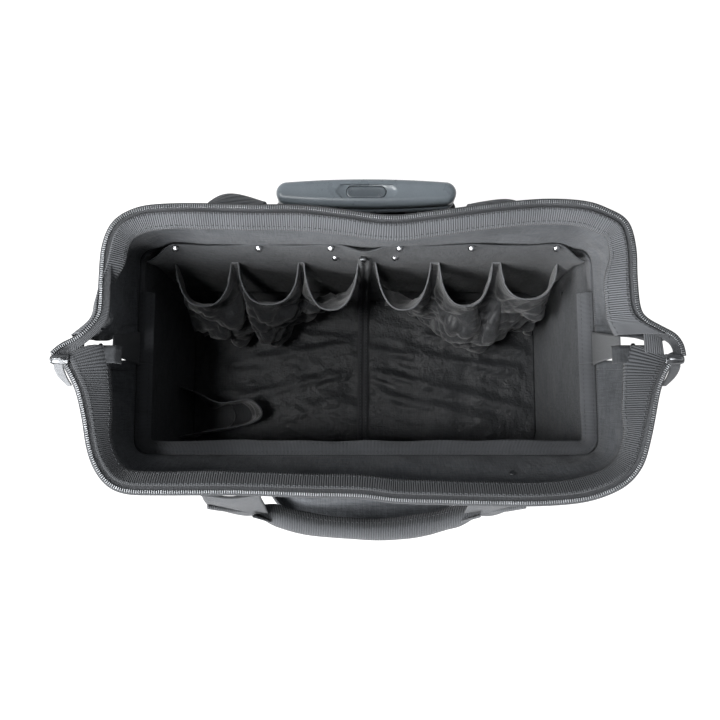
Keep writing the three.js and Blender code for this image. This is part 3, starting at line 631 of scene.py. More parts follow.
# The band is one webbing all round: its front half has darker colours for painted shade, and its rear half
# has lighter colours for painted light where its ribs face the lamps
front_webbing_painted_shade = ribbed_finish("front_band_painted_shade", (0.007, 0.0076, 0.0086), (0.05, 0.053, 0.058))
rear_webbing_painted_light = ribbed_finish("rear_band_painted_light", (0.02, 0.0215, 0.024), (0.1, 0.105, 0.114))
binding_tape = ribbed_finish("binding_tape", (0.034, 0.036, 0.04), (0.092, 0.096, 0.104), pitch=0.0013)
zip_tape = ribbed_finish("zip_tape", (0.018, 0.019, 0.021), (0.062, 0.065, 0.07), pitch=0.0011)
thread = cloth_finish("sewing_thread", (0.045, 0.048, 0.052), (0.1, 0.105, 0.112), pitch=0.0004)
tooth_metal = metal_finish("zip_tooth_metal", (0.23, 0.24, 0.25), (0.35, 0.36, 0.375), 0.5)
plated_steel = metal_finish("plated_steel", (0.11, 0.115, 0.12), (0.22, 0.225, 0.235), 0.34)
black_steel = metal_finish("black_steel", (0.05, 0.05, 0.053), (0.09, 0.09, 0.095), 0.4)
bright_rivet = metal_finish("bright_rivet", (0.5, 0.51, 0.53), (0.68, 0.69, 0.71), 0.26)
drawn_tube = metal_finish("drawn_tube", (0.27, 0.28, 0.295), (0.38, 0.39, 0.405), 0.34,
                          stretch=(1, 1, 0.02), scale=900.0)
grip_moulding = moulded_finish("grip_moulding", (0.118, 0.138, 0.154), (0.158, 0.182, 0.202), 0.3)
button_moulding = moulded_finish("button_moulding", (0.075, 0.088, 0.099), (0.104, 0.12, 0.134), 0.24,
                                 coat=0.4)
base_moulding = moulded_finish("base_moulding", (0.012, 0.012, 0.013), (0.024, 0.024, 0.026), 0.5,
                               grain=500.0, relief=0.3)
tyre_rubber = moulded_finish("tyre_rubber", (0.01, 0.01, 0.01), (0.022, 0.022, 0.023), 0.75,
                             grain=350.0, relief=0.3)


# Camera and light
CAMERA_SPOT = Vector((-0.006, -0.0938, 1.065))
CAMERA_TILT = math.radians(7.0)
PHOTO_FOCAL = 780 / 720
SENSOR_WIDTH = 36.0
WALL_GLOW = {"From Min": 0.12, "From Max": 0.5, "To Min": 0.85, "To Max": 0.17}


def set_camera():
    data = bpy.data.cameras.new("camera")
    data.sensor_width = SENSOR_WIDTH
    data.lens = SENSOR_WIDTH * PHOTO_FOCAL
    data.clip_end = 50.0
    camera = bpy.data.objects.new("camera", data)
    camera.location = CAMERA_SPOT
    camera.rotation_euler = (CAMERA_TILT, 0, 0)
    scene.collection.objects.link(camera)
    scene.camera = camera


def area_light(name, spot, aim, size, power):
    data = bpy.data.lights.new(name, "AREA")
    data.shape = "DISK"
    data.size = size
    data.energy = power
    light = bpy.data.objects.new(name, data)
    light.location = spot
    light.visible_camera = False
    light.rotation_euler = (Vector(aim) - Vector(spot)).to_track_quat("-Z", "Y").to_euler()
    scene.collection.objects.link(light)


def set_stage():
    """A lit paper floor, a world that is bright low down and dim above, and three lamps"""
    mesh = bmesh.new()
    bmesh.ops.create_grid(mesh, x_segments=2, y_segments=2, size=4.0)
    paper = Finish("studio_paper", 0.9, emission_color=(1, 1, 1, 1), emission_strength=0.86)
    paper.surface.inputs["Base Color"].default_value = (0.22, 0.22, 0.22, 1)
    floor = piece("studio_floor", mesh, paper.material)
    world = bpy.data.worlds.new("studio")
    world.use_nodes = True
    nodes, links = world.node_tree.nodes, world.node_tree.links
    nodes["Background"].inputs["Color"].default_value = (0.94, 0.97, 1, 1)
    height = nodes.new("ShaderNodeSeparateXYZ")
    links.new(nodes.new("ShaderNodeTexCoord").outputs["Generated"], height.inputs[0])
    walls = nodes.new("ShaderNodeMapRange")
    links.new(height.outputs["Z"], walls.inputs["Value"])
    for socket, value in WALL_GLOW.items():
        walls.inputs[socket].default_value = value
    links.new(walls.outputs[0], nodes["Background"].inputs["Strength"])
    scene.world = world
    scene.view_settings.view_transform = "Standard"
    area_light("left_key", (-1.8, -0.5, 1.95), (0.0, 0.0, 0.2), 1.3, 88)
    area_light("front_key", (-0.6, -1.95, 1.6), (0.0, 0.05, 0.3), 1.0, 112)
    area_light("overhead", (-0.45, -0.25, 2.4), (0.02, 0.0, 0.1), 0.3, 18)


# Body
WELL_GAP = Vector((0.0006, 0.0006, 0.0006))
COVER_GAP = 0.003
COVER_ROUND = 0.009
FRONT_FULLNESS, SIDE_FULLNESS, REAR_FULLNESS = 0.0045, 0.0028, 0.0012

# Folds of the floor cloth: from, to, height and width
FLOOR_FOLDS = [((0.008, 0.047, floor_z), (0.206, 0.020, floor_z), -0.0062, 0.0070),
               ((0.010, 0.018, floor_z), (0.215, -0.034, floor_z), -0.0056, 0.0075),
               ((0.020, -0.012, floor_z), (0.180, -0.052, floor_z), -0.0042, 0.0085),
               ((0.080, 0.068, floor_z), (0.216, 0.046, floor_z), -0.0068, 0.0065),
               ((-0.020, 0.055, floor_z), (-0.180, 0.028, floor_z), -0.0052, 0.0070),
               ((-0.024, 0.016, floor_z), (-0.165, -0.016, floor_z), -0.0050, 0.0075),
               ((-0.030, -0.018, floor_z), (-0.110, -0.046, floor_z), -0.0040, 0.0085)]


def well_box(side):
    low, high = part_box(f"wheel_housing_{side}")
    return low - WELL_GAP, high + WELL_GAP


def cut_wells(mesh):
    """Takes the wheel wells out of a body sheet, with clean edges"""
    low, high = well_box("right")
    inner_x = well_box("left")[1].x
    for spot, normal in (((low.x, 0, 0), (1, 0, 0)), ((inner_x, 0, 0), (1, 0, 0)),
                         ((0, low.y, 0), (0, 1, 0)), ((0, 0, high.z), (0, 0, 1))):
        bmesh.ops.bisect_plane(mesh, geom=[*mesh.verts, *mesh.edges, *mesh.faces], dist=1e-6,
                               plane_co=spot, plane_no=normal)
    gone = []
    for face in mesh.faces:
        spot = face.calc_center_median()
        if (spot.x > low.x or spot.x < inner_x) and spot.y > low.y and spot.z < high.z:
            gone.append(face)
    bmesh.ops.delete(mesh, geom=gone, context="FACES")
    return mesh


def body_rise(z):
    """The share of the way from the base tray to the shoulder"""
    return clamp((z - base_top) / (shoulder_z - base_top))


def add_body():
    """The sewn shell of the body, with its piped and stitched seams"""
    foot_loop = body_loop()
    loop = body_loop(0.0, SHOULDER_CORNER)

    def place(u, w):
        z = blend_of(foot_z, shoulder_z, w)
        rise = body_rise(z)
        spot = foot_loop.at(u).lerp(loop.at(u), ease(rise))
        out = -foot_loop.inward(u)
        fullness = FRONT_FULLNESS * max(-out.y, 0) ** 2 + REAR_FULLNESS * max(out.y, 0) ** 2
        fullness += SIDE_FULLNESS * out.x ** 2
        return spot + out * swell(rise) ** 0.8 * fullness + UP * z

    def slack(spot):
        quiet = 0.35 if spot.y > 0.1 else 1.0
        return quiet * swell(body_rise(spot.z)) ** 0.6

    mesh = woven(300, 60, place, joined=True)
    rumple(mesh, 0.0042, 0.08, 3.1, slack, (1, 1, 0.5))
    rumple(mesh, 0.0014, 0.03, 7.7, slack, (1, 1, 0.7))
    shell = piece("bag_shell", cut_wells(mesh), charcoal, "bag",
                  ("front_panel", "rear_panel", "side_panel_left", "side_panel_right",
                   "side_gusset_left", "side_gusset_right"), inner=lining)
    thicken(shell, WALL, inner=True)
    piece("shoulder_piping", welt(loop.raised(shoulder_z), 0.0024), grosgrain, "bag")
    base_seam = body_loop(-0.0006).raised(base_top + 0.002)
    piece("base_piping", cut_wells(welt(base_seam, 0.0022)), grosgrain, "bag")
    shares = even(400)[:-1]
    faces = [-loop.inward(share) for share in shares]
    drop = UP * (shoulder_z - 0.007)
    spots = [loop.at(share) + out * STITCH_LIFT + drop for share, out in zip(shares, faces)]
    sew("shoulder_stitching", spots, faces, "bag")


def add_floor():
    """The loose cloth over the floor board, and the lining over each wheel well"""
    loop = body_loop(WALL + 0.0006)

    def place(u, w):
        edge = loop.at(u)
        return Vector((edge.x * w, (edge.y - 0.01) * w + 0.01, floor_z))

    def slack(spot):
        return ease((0.215 - abs(spot.x)) / 0.05) * ease((spot.y - front_y - 0.01) / 0.03)

    mesh = woven(240, 110, place, joined=True, flat=True)
    if sum(face.normal.z for face in mesh.faces) < 0:
        bmesh.ops.reverse_faces(mesh, faces=mesh.faces)
    for vert in mesh.verts:
        spot = Vector((vert.co.x * 0.8, vert.co.y * 1.5 + vert.co.x * 0.25, 0))
        rise = 0.002 * (1 + ridges(spot, 0.11, 5.3)) + 0.001 * (1 + ridges(spot, 0.04, 1.9))
        vert.co.z += 0.0006 + rise * slack(vert.co)
    stand_folds(mesh, FLOOR_FOLDS)
    for vert in mesh.verts:
        vert.co.z = max(vert.co.z, floor_z + 0.0004)
    bmesh.ops.smooth_vert(mesh, verts=mesh.verts, factor=0.5, use_axis_x=False, use_axis_y=False,
                          use_axis_z=True)
    # The floor cloth's darkened lining colours are painted shade
    thicken(piece("floor_cloth", mesh, floor_lining_painted_shade, "bag", ("floor_board",)), HEAVY_CLOTH)
    for side, sign in SIDES.items():
        low, high = well_box(side)
        edge = half_width - 0.0014
        low = Vector((low.x - COVER_GAP if sign > 0 else -edge, low.y - COVER_GAP, floor_z))
        high = Vector((edge if sign > 0 else high.x + COVER_GAP, rear_y - 0.0014, high.z + COVER_GAP))
        piece(f"wheel_well_cover_{side}", wheel_cover(low, high, sign), charcoal, "bag")


def wheel_cover(low, high, sign):
    """The lining over a wheel well, with its inner edges rounded"""
    mesh = box_mesh(high - low, (low + high) / 2)
    inner_x = low.x if sign > 0 else high.x
    rounded = []
    for edge in mesh.edges:
        spot = (edge.verts[0].co + edge.verts[1].co) / 2
        gaps = (spot.z - high.z, spot.x - inner_x, spot.y - low.y)
        if sum(abs(gap) < 1e-5 for gap in gaps) == 2:
            rounded.append(edge)
    round_edges(mesh, rounded, COVER_ROUND, 4)
    return lay_threads(mesh, lambda vert: (vert.co.x + vert.co.y, vert.co.z))


# Mouth
ARM_Y = 0.085
HEM_REACH = 0.2665
RIM_STEPS = 360
TEETH_SINK = 0.0014
EAR_START, EAR_LENGTH, EAR_DROP = 0.238, 0.034, 0.0042

# The line of the teeth in plan, from ear to ear
ZIP_RUNS = {
    "front": [(-0.272, -0.011), (-0.2675, -0.0095), (-0.262, -0.012), (-0.2555, -0.021), (-0.246, -0.039),
              (-0.2395, -0.062), (-0.2345, -0.0865), (-0.2275, -0.104), (-0.2165, -0.117),
              (-0.2015, -0.123), (-0.175, -0.124), (-0.11, -0.124), (-0.045, -0.126), (-0.005, -0.127),
              (0.0235, -0.1305), (0.0525, -0.1315), (0.091, -0.1325), (0.139, -0.133), (0.1765, -0.1305),
              (0.2, -0.1245), (0.218, -0.115), (0.2305, -0.1), (0.2375, -0.0795), (0.242, -0.062),
              (0.248, -0.038), (0.256, -0.0205), (0.264, -0.0125), (0.272, -0.011)],
    "rear": [(0.2725, -0.0085), (0.271, 0.001), (0.2655, 0.009), (0.2565, 0.0135), (0.2395, 0.0225),
             (0.2335, 0.0335), (0.232, 0.06), (0.232, 0.086), (0.2265, 0.1085), (0.2105, 0.119),
             (0.1915, 0.1255), (0.159, 0.1275), (0.12, 0.1245), (0.0765, 0.119), (0.05, 0.1155),
             (0.03, 0.113), (0.01, 0.1135), (-0.0175, 0.1175), (-0.0575, 0.122), (-0.1, 0.1225),
             (-0.146, 0.1235), (-0.1795, 0.123), (-0.202, 0.1195), (-0.22, 0.1085), (-0.2285, 0.0875),
             (-0.23, 0.0555), (-0.2305, 0.0285), (-0.239, 0.0155), (-0.2495, 0.0065), (-0.2635, 0.0),
             (-0.2715, -0.007)],
}
ZIP_LINES = {half: eased(smooth_line([(x, y, 0) for x, y in run], 6), 600, 10)
             for half, run in ZIP_RUNS.items()}

# Folds of the flaps: from, to, height and width
FLAP_FOLDS = {
    "front": [((-0.222, -0.086, 0.295), (-0.205, -0.105, 0.375), 0.0035, 0.015),
              ((-0.205, -0.098, 0.295), (-0.165, -0.116, 0.37), 0.002, 0.016),
              ((0.222, -0.088, 0.295), (0.205, -0.105, 0.372), 0.0035, 0.018),
              ((0.10, -0.100, 0.300), (0.17, -0.121, 0.36), 0.0025, 0.014),
              ((-0.16, -0.100, 0.300), (-0.06, -0.118, 0.35), 0.0025, 0.014),
              ((0.04, -0.100, 0.300), (-0.02, -0.122, 0.36), 0.002, 0.012)],
    "rear": [((-0.222, 0.106, 0.295), (-0.214, 0.108, 0.375), 0.003, 0.014),
             ((0.224, 0.104, 0.295), (0.216, 0.108, 0.372), 0.0035, 0.015),
             ((0.205, 0.116, 0.295), (0.18, 0.121, 0.36), 0.002, 0.014),
             ((-0.232, 0.055, 0.300), (-0.226, 0.07, 0.36), -0.003, 0.016),
             ((0.232, 0.045, 0.300), (0.229, 0.065, 0.36), -0.003, 0.016)],
}

# Rivets through the front flap: their places across and up, and their half-profile
FLAP_RIVETS = ((-0.1273, 0.337), (-0.1280, 0.354), (0.1360, 0.330), (0.1350, 0.346))
FLAP_DOME = [(0.0, 0.0034), (0.0006, 0.0034), (0.0012, 0.0028), (0.0016, 0.0016), (0.0018, 0.0)]

# Sections of the rim as points of distance inwards and drop: its band, and the facing under it
BAND_SECTION = Line([(0.0054, 0.0004, 0), (0.0078, 0.0012, 0), (0.0164, 0.0098, 0), (0.0172, 0.0138, 0)])
FACING_SECTION = Line([(0.0164, 0.0108, 0), (0.0142, 0.018, 0), (0.007, 0.027, 0)])


def zip_height(spot):
    """The height of the teeth, which falls towards the ears"""
    return rim_z - TEETH_SINK - EAR_DROP * ease((abs(spot.x) - EAR_START) / EAR_LENGTH)


def hem_line(half, inset=0.0):
    """The sewn part of a zip half, from slit to slit, moved inwards"""
    line = ZIP_LINES[half]
    mouth = MOUTHS[half]
    spots = []
    for share in even(600):
        spot = line.at(share)
        if mouth["side"] * (spot.y - mouth["end"]) > mouth["clear"] and abs(spot.x) < HEM_REACH:
            spots.append(spot + line.inward(share) * inset)
    return Line(spots)


def across_bag(spot):
    """The straight way into the bag from one of its sides"""
    return Vector((-math.copysign(1.0, spot.x), 0, 0))


def into_bag(half, line, share):
    """The way into the bag from the rim: square to the rim, and straight across on the arms"""
    spot = line.at(share)
    on_arm = ease((ARM_Y - MOUTHS[half]["side"] * spot.y) / 0.03)
    return line.inward(share).lerp(across_bag(spot), on_arm).normalized(), on_arm


def flap_spot(half, hem, foot, u, z):
    """A spot on a flap: from the shoulder seam up to the hem, with the cloth's own sag"""
    rise = min((z - shoulder_z) / (HEM_Z - shoulder_z), 1.0)
    spot = foot.at(u).lerp(hem.at(u), ease(rise) * 0.4 + rise * 0.6)
    out = -hem.inward(u)
    facing = abs(out.y) * blend_of(1.0, 0.3, ease((abs(hem.at(u).x) - 0.15) / 0.07))
    slack = blend_of(MOUTHS[half]["side_slack"], MOUTHS[half]["face_slack"], facing)
    return spot + out * swell(rise) * slack + UP * z


def add_flap(half):
    """The leaning upper wall of one half, from the shoulder seam to the zip"""
    mouth = MOUTHS[half]
    side = mouth["side"]
    hem = hem_line(half, 0.0023)
    foot = horseshoe(side, half_width, mouth["foot_y"], SHOULDER_CORNER, mouth["end"] + mouth["slant"])

    def place(u, w):
        return flap_spot(half, hem, foot, u, blend_of(shoulder_z, flap_top_z, w))

    def loose(spot):
        rise = clamp((spot.z - shoulder_z) / (HEM_Z - shoulder_z))
        return swell(rise) ** 0.8 * (0.5 + 0.8 * ease((abs(spot.x) - 0.14) / 0.06))

    mesh = woven(280, 44, place)
    rumple(mesh, 0.0045, 0.06, 2.3 + side, loose, (1.4, 1.4, 0.7))
    rumple(mesh, 0.0016, 0.022, 6.1 + side, loose)
    stand_folds(mesh, FLAP_FOLDS[half])
    if half == "front":
        add_flap_rivets(BVHTree.FromBMesh(mesh))
    flap = piece(f"{half}_flap_cloth", mesh, charcoal, inner=flap_inside)
    fold(flap, half, (f"{half}_flap",))
    thicken(flap, FLAP_CLOTH, inner=True)
    add_flap_hems(half, hem, foot)


def add_flap_rivets(cloth):
    """Paired rivets through the front flap where the handle legs are sewn on"""
    places = []
    for x, z in FLAP_RIVETS:
        spot, normal, _, _ = cloth.ray_cast(Vector((x, 0.0, z)), Vector((0, -1, 0)))
        inward = normal if normal.y > 0 else -normal
        places.append((spot + inward * (FLAP_CLOTH - 0.0002), inward))
    fold(piece("flap_rivets", rivet_heads(FLAP_DOME, places), plated_steel, sharp=60), "front")


def add_flap_hems(half, hem, foot):
    """Folded and stitched hems along the two slit edges of a flap"""
    reach = 0.011 / hem.length
    for end, name in ((0.0, "a"), (1.0, "b")):
        inward = across_bag(hem.at(end))

        def place(u, w):
            z = blend_of(shoulder_z + 0.004, flap_top_z - 0.003, w)
            share = u * reach if end == 0.0 else 1 - u * reach
            return flap_spot(half, hem, foot, share, z) + inward * (0.0026 + 0.0007 * swell(u))

        strip = piece(f"{half}_slit_hem_{name}", outward(woven(6, 24, place)), flap_inside)
        thicken(fold(strip, half), THIN_CLOTH, CENTRED)
        spots = [place(0.85, share) + inward * STITCH_LIFT for share in even(16)]
        fold(sew(f"{half}_slit_stitching_{name}", spots, [inward]), half)


def add_rim(half):
    """Grosgrain band, hem facing and stitching that wrap the steel bar of one mouth half"""
    line = hem_line(half)
    mouth = MOUTHS[half]
    body, side = mouth["body"], mouth["side"]

    def strip(u, section, w):
        spot = line.at(u)
        way, on_arm = into_bag(half, line, u)
        if half == "front":
            way = (way + Vector((0, 0.42 * ease((abs(spot.x) - 0.25) / 0.014), 0))).normalized()
        spare = max(abs(spot.x) - mouth["rim_half"] - 0.001, 0.0) * on_arm * 0.75
        inset, drop, _ = section.at(w)
        turned_out = ease((ARM_Y - spot.y) / 0.05) if half == "rear" and spot.x < 0 else 0.0
        wide = inset + (spare + 0.0018 * on_arm) * ease((inset - 0.005) / 0.01)
        spot = spot + way * wide * (1 - 1.5 * turned_out)
        spot.y = side * max(side * spot.y, side * mouth["end"])
        return Vector((spot.x, spot.y, zip_height(spot) + 0.0006 - drop * (1 + 0.6 * turned_out)))

    mesh = woven(420, 10, lambda u, w: strip(u, BAND_SECTION, w))
    rumple(mesh, 0.0011, 0.035, 3.7)
    # Painted shade on the front band and painted light on the rear band: darker and lighter copies of one
    # webbing
    webbing = front_webbing_painted_shade if half == "front" else rear_webbing_painted_light
    thicken(piece(f"{half}_grosgrain", mesh, webbing, body, (f"{half}_band",)), BAND_TAPE)
    mesh = woven(280, 8, lambda u, w: strip(u, FACING_SECTION, w))
    facing = piece(f"{half}_hem_facing", mesh, flap_inside, body, (f"{half}_frame_bar",))
    thicken(facing, THIN_CLOTH)
    faces = [(into_bag(half, line, share)[0] * 0.5 + UP).normalized() for share in even(RIM_STEPS)]
    for name, w in (("outer", 0.1), ("inner", 0.72)):
        spots = [strip(share, BAND_SECTION, w) + UP * STITCH_LIFT for share in even(RIM_STEPS)]
        sew(f"{half}_band_stitching_{name}", spots, faces, body, pitch=0.0045)


def add_zip(half):
    """The tape and the separate teeth of one zip half"""
    body = MOUTHS[half]["body"]
    line = ZIP_LINES[half]

    def tape(u, w):
        spot = line.at(u) + line.inward(u) * blend_of(-0.003, 0.0075, w)
        return Vector((spot.x, spot.y, zip_height(spot) - 0.0007 - 0.0014 * abs(2 * w - 0.55)))

    strip = piece(f"{half}_zip_tape", woven(700, 8, tape), zip_tape, body, (f"{half}_zip",))
    thicken(strip, POUCH_CLOTH)
    count = int(line.length / ZIP_PITCH)
    places = []
    for index in range(count):
        share = (index + 0.5) / count
        spot = line.at(share)
        spot.z = zip_height(spot)
        places.append(axes(spot + line.inward(share) * 0.0002, line.inward(share), UP))
    tooth = block((0.0027, 0.0009, 0.0019), 0.0002, 1)
    piece(f"{half}_zip_teeth", copies(tooth, places), tooth_metal, body, sharp=30)


# Ends of the zip: corners of the folded tabs in plan, and the route of the tape that hangs from each ear
EAR_FOLDS = {
    "left": [(-0.2592, -0.0105), (-0.2440, -0.0052), (-0.2440, 0.0088), (-0.2572, 0.0022)],
    "right": [(0.2556, -0.0110), (0.2392, -0.0052), (0.2392, 0.0205), (0.2538, 0.0138)],
}
TAB_ROUTE = [(0.2655, -0.012, 0.3965), (0.2668, -0.0175, 0.3945), (0.2650, -0.0255, 0.3885),
             (0.2615, -0.0325, 0.3805)]
SLIDER_LENGTH, SLIDER_WIDTH = 0.0145, 0.0092
PULL_THICKNESS = 0.0015
BRIDGE = ((-0.0055, 0.003), (-0.004, 0.0068), (0.001, 0.008), (0.0058, 0.0064), (0.0066, 0.003))


def add_zip_ends():
    """Folded end tab, slider and pull where the two strands meet on each side"""
    for name, sign in SIDES.items():
        a, b, c, d = [Vector((x, y, 0)) for x, y in EAR_FOLDS[name]]
        route = smooth_line([(sign * x, y, z) for x, y, z in TAB_ROUTE])

        def ear(u, w):
            spot = a.lerp(b, u).lerp(d.lerp(c, u), w)
            lift = 0.0016 * swell(w) * swell(u)
            return Vector((spot.x, spot.y, zip_height(spot) - 0.0016 - 0.002 * w - 0.003 * u + lift))

        def web(u, w):
            half = blend_of(0.0036, 0.0055, swell(u) ** 0.7) * (1 - 0.45 * u)
            off = w - 0.5
            return route.at(u) + Vector((sign * off * 2 * half, 0.2 * off * half, -0.0025 * off))

        mesh = outward(woven(14, 14, ear))
        thicken(piece(f"ear_fold_{name}", mesh, grosgrain, "front_frame"), THIN_TAPE, CENTRED)
        mesh = outward(woven(20, 8, web))
        tab = piece(f"zip_end_tab_{name}", mesh, raw_edge if sign < 0 else zip_tape, "front_frame",
                    (f"zip_end_{name}",))
        thicken(tab, BAND_TAPE, CENTRED)
        add_slider(name, sign, middle(f"zip_slider_{name}") + UP * 0.0002)
        add_pull(name, sign)


def add_slider(name, sign, spot):
    """A cast slider with a waisted body, a mouth for the two strands and a bridge for its pull"""
    mesh = block((SLIDER_LENGTH, SLIDER_WIDTH, 0.0032), 0.0011, 2, spot + UP * 0.0022)
    join(mesh, block((SLIDER_LENGTH, SLIDER_WIDTH, 0.0016), 0.0007, 2, spot - UP * 0.0018))
    for vert in mesh.verts:
        along = sign * (vert.co.x - spot.x) / 0.007
        vert.co.y = spot.y + (vert.co.y - spot.y) * (1.0 - 0.3 * max(along, 0) ** 1.5)
    bridge = smooth_line([spot + Vector((sign * x, 0, z)) for x, z in BRIDGE])
    across = Vector((0, 1, 0))

    def spread(u):
        return across * 0.0013, bridge.heading(u).cross(across) * 0.0009

    outward(join(mesh, cord(bridge, 20, 10, spread)))
    piece(f"zip_slider_body_{name}", mesh, plated_steel, "front_frame", (f"zip_slider_{name}",),
          sharp=35)


def add_pull(name, sign):
    """A tapered pull tab, hanging from the slider's bridge"""
    low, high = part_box(f"zip_pull_{name}")
    centre = (low + high) / 2
    half = (high.y - low.y) / 2
    neck, foot = half * 0.72, half * 0.6
    outline = []
    for turn in [math.pi * share for share in even(12)]:
        outline.append((math.cos(turn) * neck, high.z - neck + math.sin(turn) * neck))
    for turn in [math.pi + math.pi * share for share in even(12)]:
        outline.append((math.cos(turn) * half, low.z + foot + math.sin(turn) * foot))
    mesh = bmesh.new()
    face = mesh.faces.new([mesh.verts.new((centre.x, centre.y + y, z)) for y, z in outline])
    bmesh.ops.inset_individual(mesh, faces=[face], thickness=0.0011, depth=0.0)
    draw_out(mesh, (sign * PULL_THICKNESS, 0, 0))
    bmesh.ops.translate(mesh, vec=(-sign * PULL_THICKNESS / 2, 0, 0), verts=mesh.verts)
    outward(mesh)
    round_edges(mesh, [edge for edge in mesh.edges if edge.calc_face_angle(0) > 1.2], 0.0003)
    piece(f"zip_pull_tab_{name}", mesh, plated_steel, f"pull_{name}", (f"zip_pull_{name}",),
          sharp=35)


# Inside of the bag
ACROSS = Vector((1, 0, 0))

# Sections of the binding as points of distance inwards and height, and its two rows of stitches
FIN_SECTION = [(0.0028, shoulder_z - 0.0004), (0.009, shoulder_z - 0.0012), (0.0165, shoulder_z - 0.0075)]
REAR_SECTION = [(0.003, shoulder_z - 0.001), (0.0034, shoulder_z - 0.0045), (0.0034, shoulder_z - 0.0135)]
BINDING_ROWS = (("outer", 0.0062, 0.0), ("inner", 0.0138, 0.0048))
BINDINGS = {"front": {"section": FIN_SECTION, "slack": 0.0026, "side_gap": 0.002},
            "rear": {"section": REAR_SECTION, "slack": 0.0004, "side_gap": 0.0}}

# Rivets of the rear lining: along its top edge and beside its centre seam, and their half-profile
RIVET_SPOTS = (-0.1907, -0.1072, -0.0352, 0.0337, 0.1057, 0.1902)
LOW_RIVETS = (-0.032, 0.0305)
LOW_RIVET_Z = 0.268
LINING_DOME = [(0.0, 0.0036), (0.0006, 0.0036), (0.0013, 0.003), (0.0018, 0.0018), (0.002, 0.0)]
SEAM_WIDTH = 0.0145

# Rows of tool pockets, each pocket with its centre, half width, gape and squareness
POUCHES = {
    "left": {"focus": -0.115, "seed": 4.7, "pockets": [
        (-0.1738, 0.0294, 0.0465, 0.55), (-0.1041, 0.0320, 0.0445, 0.5), (-0.0371, 0.0289, 0.0505, 0.62)]},
    "right": {"focus": 0.12, "seed": 2.9, "pockets": [
        (0.0406, 0.0295, 0.0505, 0.72), (0.1076, 0.0285, 0.0465, 0.6), (0.1752, 0.0300, 0.039, 0.5)]},
}
POUCH_FOOT_Z = 0.062
POUCH_EDGE = 0.0009


def binding_row(line, inset, drop, steps):
    height = UP * (shoulder_z + STITCH_LIFT - drop)
    return [line.at(share) + line.inward(share) * inset + height for share in even(steps)]


def add_shoulder_binding():
    """Stitched binding tape that stands into the bag along the shoulder seam"""
    for half, binding in BINDINGS.items():
        mouth = MOUTHS[half]
        line = horseshoe(mouth["side"], half_width, mouth["foot_y"], SHOULDER_CORNER + 0.004,
                         mouth["panel_end"])
        mesh = ribbon(line, binding["section"], 220, 10)
        rumple(mesh, binding["slack"], 0.04, 4.4, lambda spot: ease((shoulder_z - spot.z) / 0.006))
        fin = piece(f"{half}_shoulder_tape", mesh, binding_tape, "bag", (f"{half}_binding",))
        thicken(fin, BINDING_TAPE, CENTRED)
        if half == "front":
            for row, inset, drop in BINDING_ROWS:
                sew(f"shoulder_tape_stitching_{row}", binding_row(line, inset, drop, 200), [UP], "bag")
    for name, sign in SIDES.items():
        for half, binding in BINDINGS.items():
            start = MOUTHS[half]["panel_end"] - binding["side_gap"]
            spots = [(sign * half_width, start, 0), (sign * half_width, pivot.y, 0)]
            line = Line(spots)
            if line.inward(0.5).x * sign > 0:
                line = Line(spots[::-1])
            mesh = outward(ribbon(line, FIN_SECTION, 40, 10))
            fin = piece(f"side_shoulder_tape_{half}_{name}", mesh, binding_tape)
            thicken(fold(fin, half), BINDING_TAPE, CENTRED)
            for row, inset, drop in BINDING_ROWS:
                spots = binding_row(line, inset, drop, 30)
                fold(sew(f"side_tape_stitching_{half}_{name}_{row}", spots, [UP]), half)


def add_slit_strips():
    """Ribbed strips that close the foot of each side slit, and cloth over the pivots"""
    route = smooth_line([(half_width - 0.0042, 0, shoulder_z - 0.004),
                         (half_width - 0.0062, 0, shoulder_z + 0.025),
                         (half_width - 0.0052, 0, shoulder_z + 0.05), (half_width - 0.0026, 0, 0.366)])
    lap = 0.0055
    for name, sign in SIDES.items():

        def place(u, w):
            spot = route.at(u)
            rear = SLIT_REAR_Y + MOUTHS["rear"]["slant"] * (1 - u) + lap
            return Vector((sign * spot.x, blend_of(SLIT_FRONT_Y - lap, rear, w), spot.z))

        def cover(u, w):
            x = blend_of(0.2142, 0.2425, u)
            y = blend_of(pivot.y - 0.0125, SLIT_FRONT_Y, w)
            curl = 0.006 * ease((0.2185 - x) / 0.0043) + 0.002 * ease((w - 0.8) / 0.2)
            return Vector((sign * x, y, pivot.z + 0.0044 - curl))

        strip = piece(f"slit_strip_{name}", outward(woven(48, 10, place)), zip_tape)
        thicken(fold(strip, "front"), THIN_TAPE, CENTRED)
        mesh = outward(woven(24, 12, cover))
        cloth = piece(f"pivot_cover_{name}", mesh, charcoal, "front_frame")
        thicken(cloth, THIN_CLOTH, CENTRED)


def lining_dip(x):
    """How far the lining's top edge falls between its rivets, at the centre seam and at the ends"""
    gap = min(abs(x - spot) for spot in RIVET_SPOTS)
    centre = 0.007 * ease((0.03 - abs(x)) / 0.03)
    return 0.0018 * ease(gap / 0.036) + centre + 0.012 * ease((abs(x) - 0.19) / 0.03)


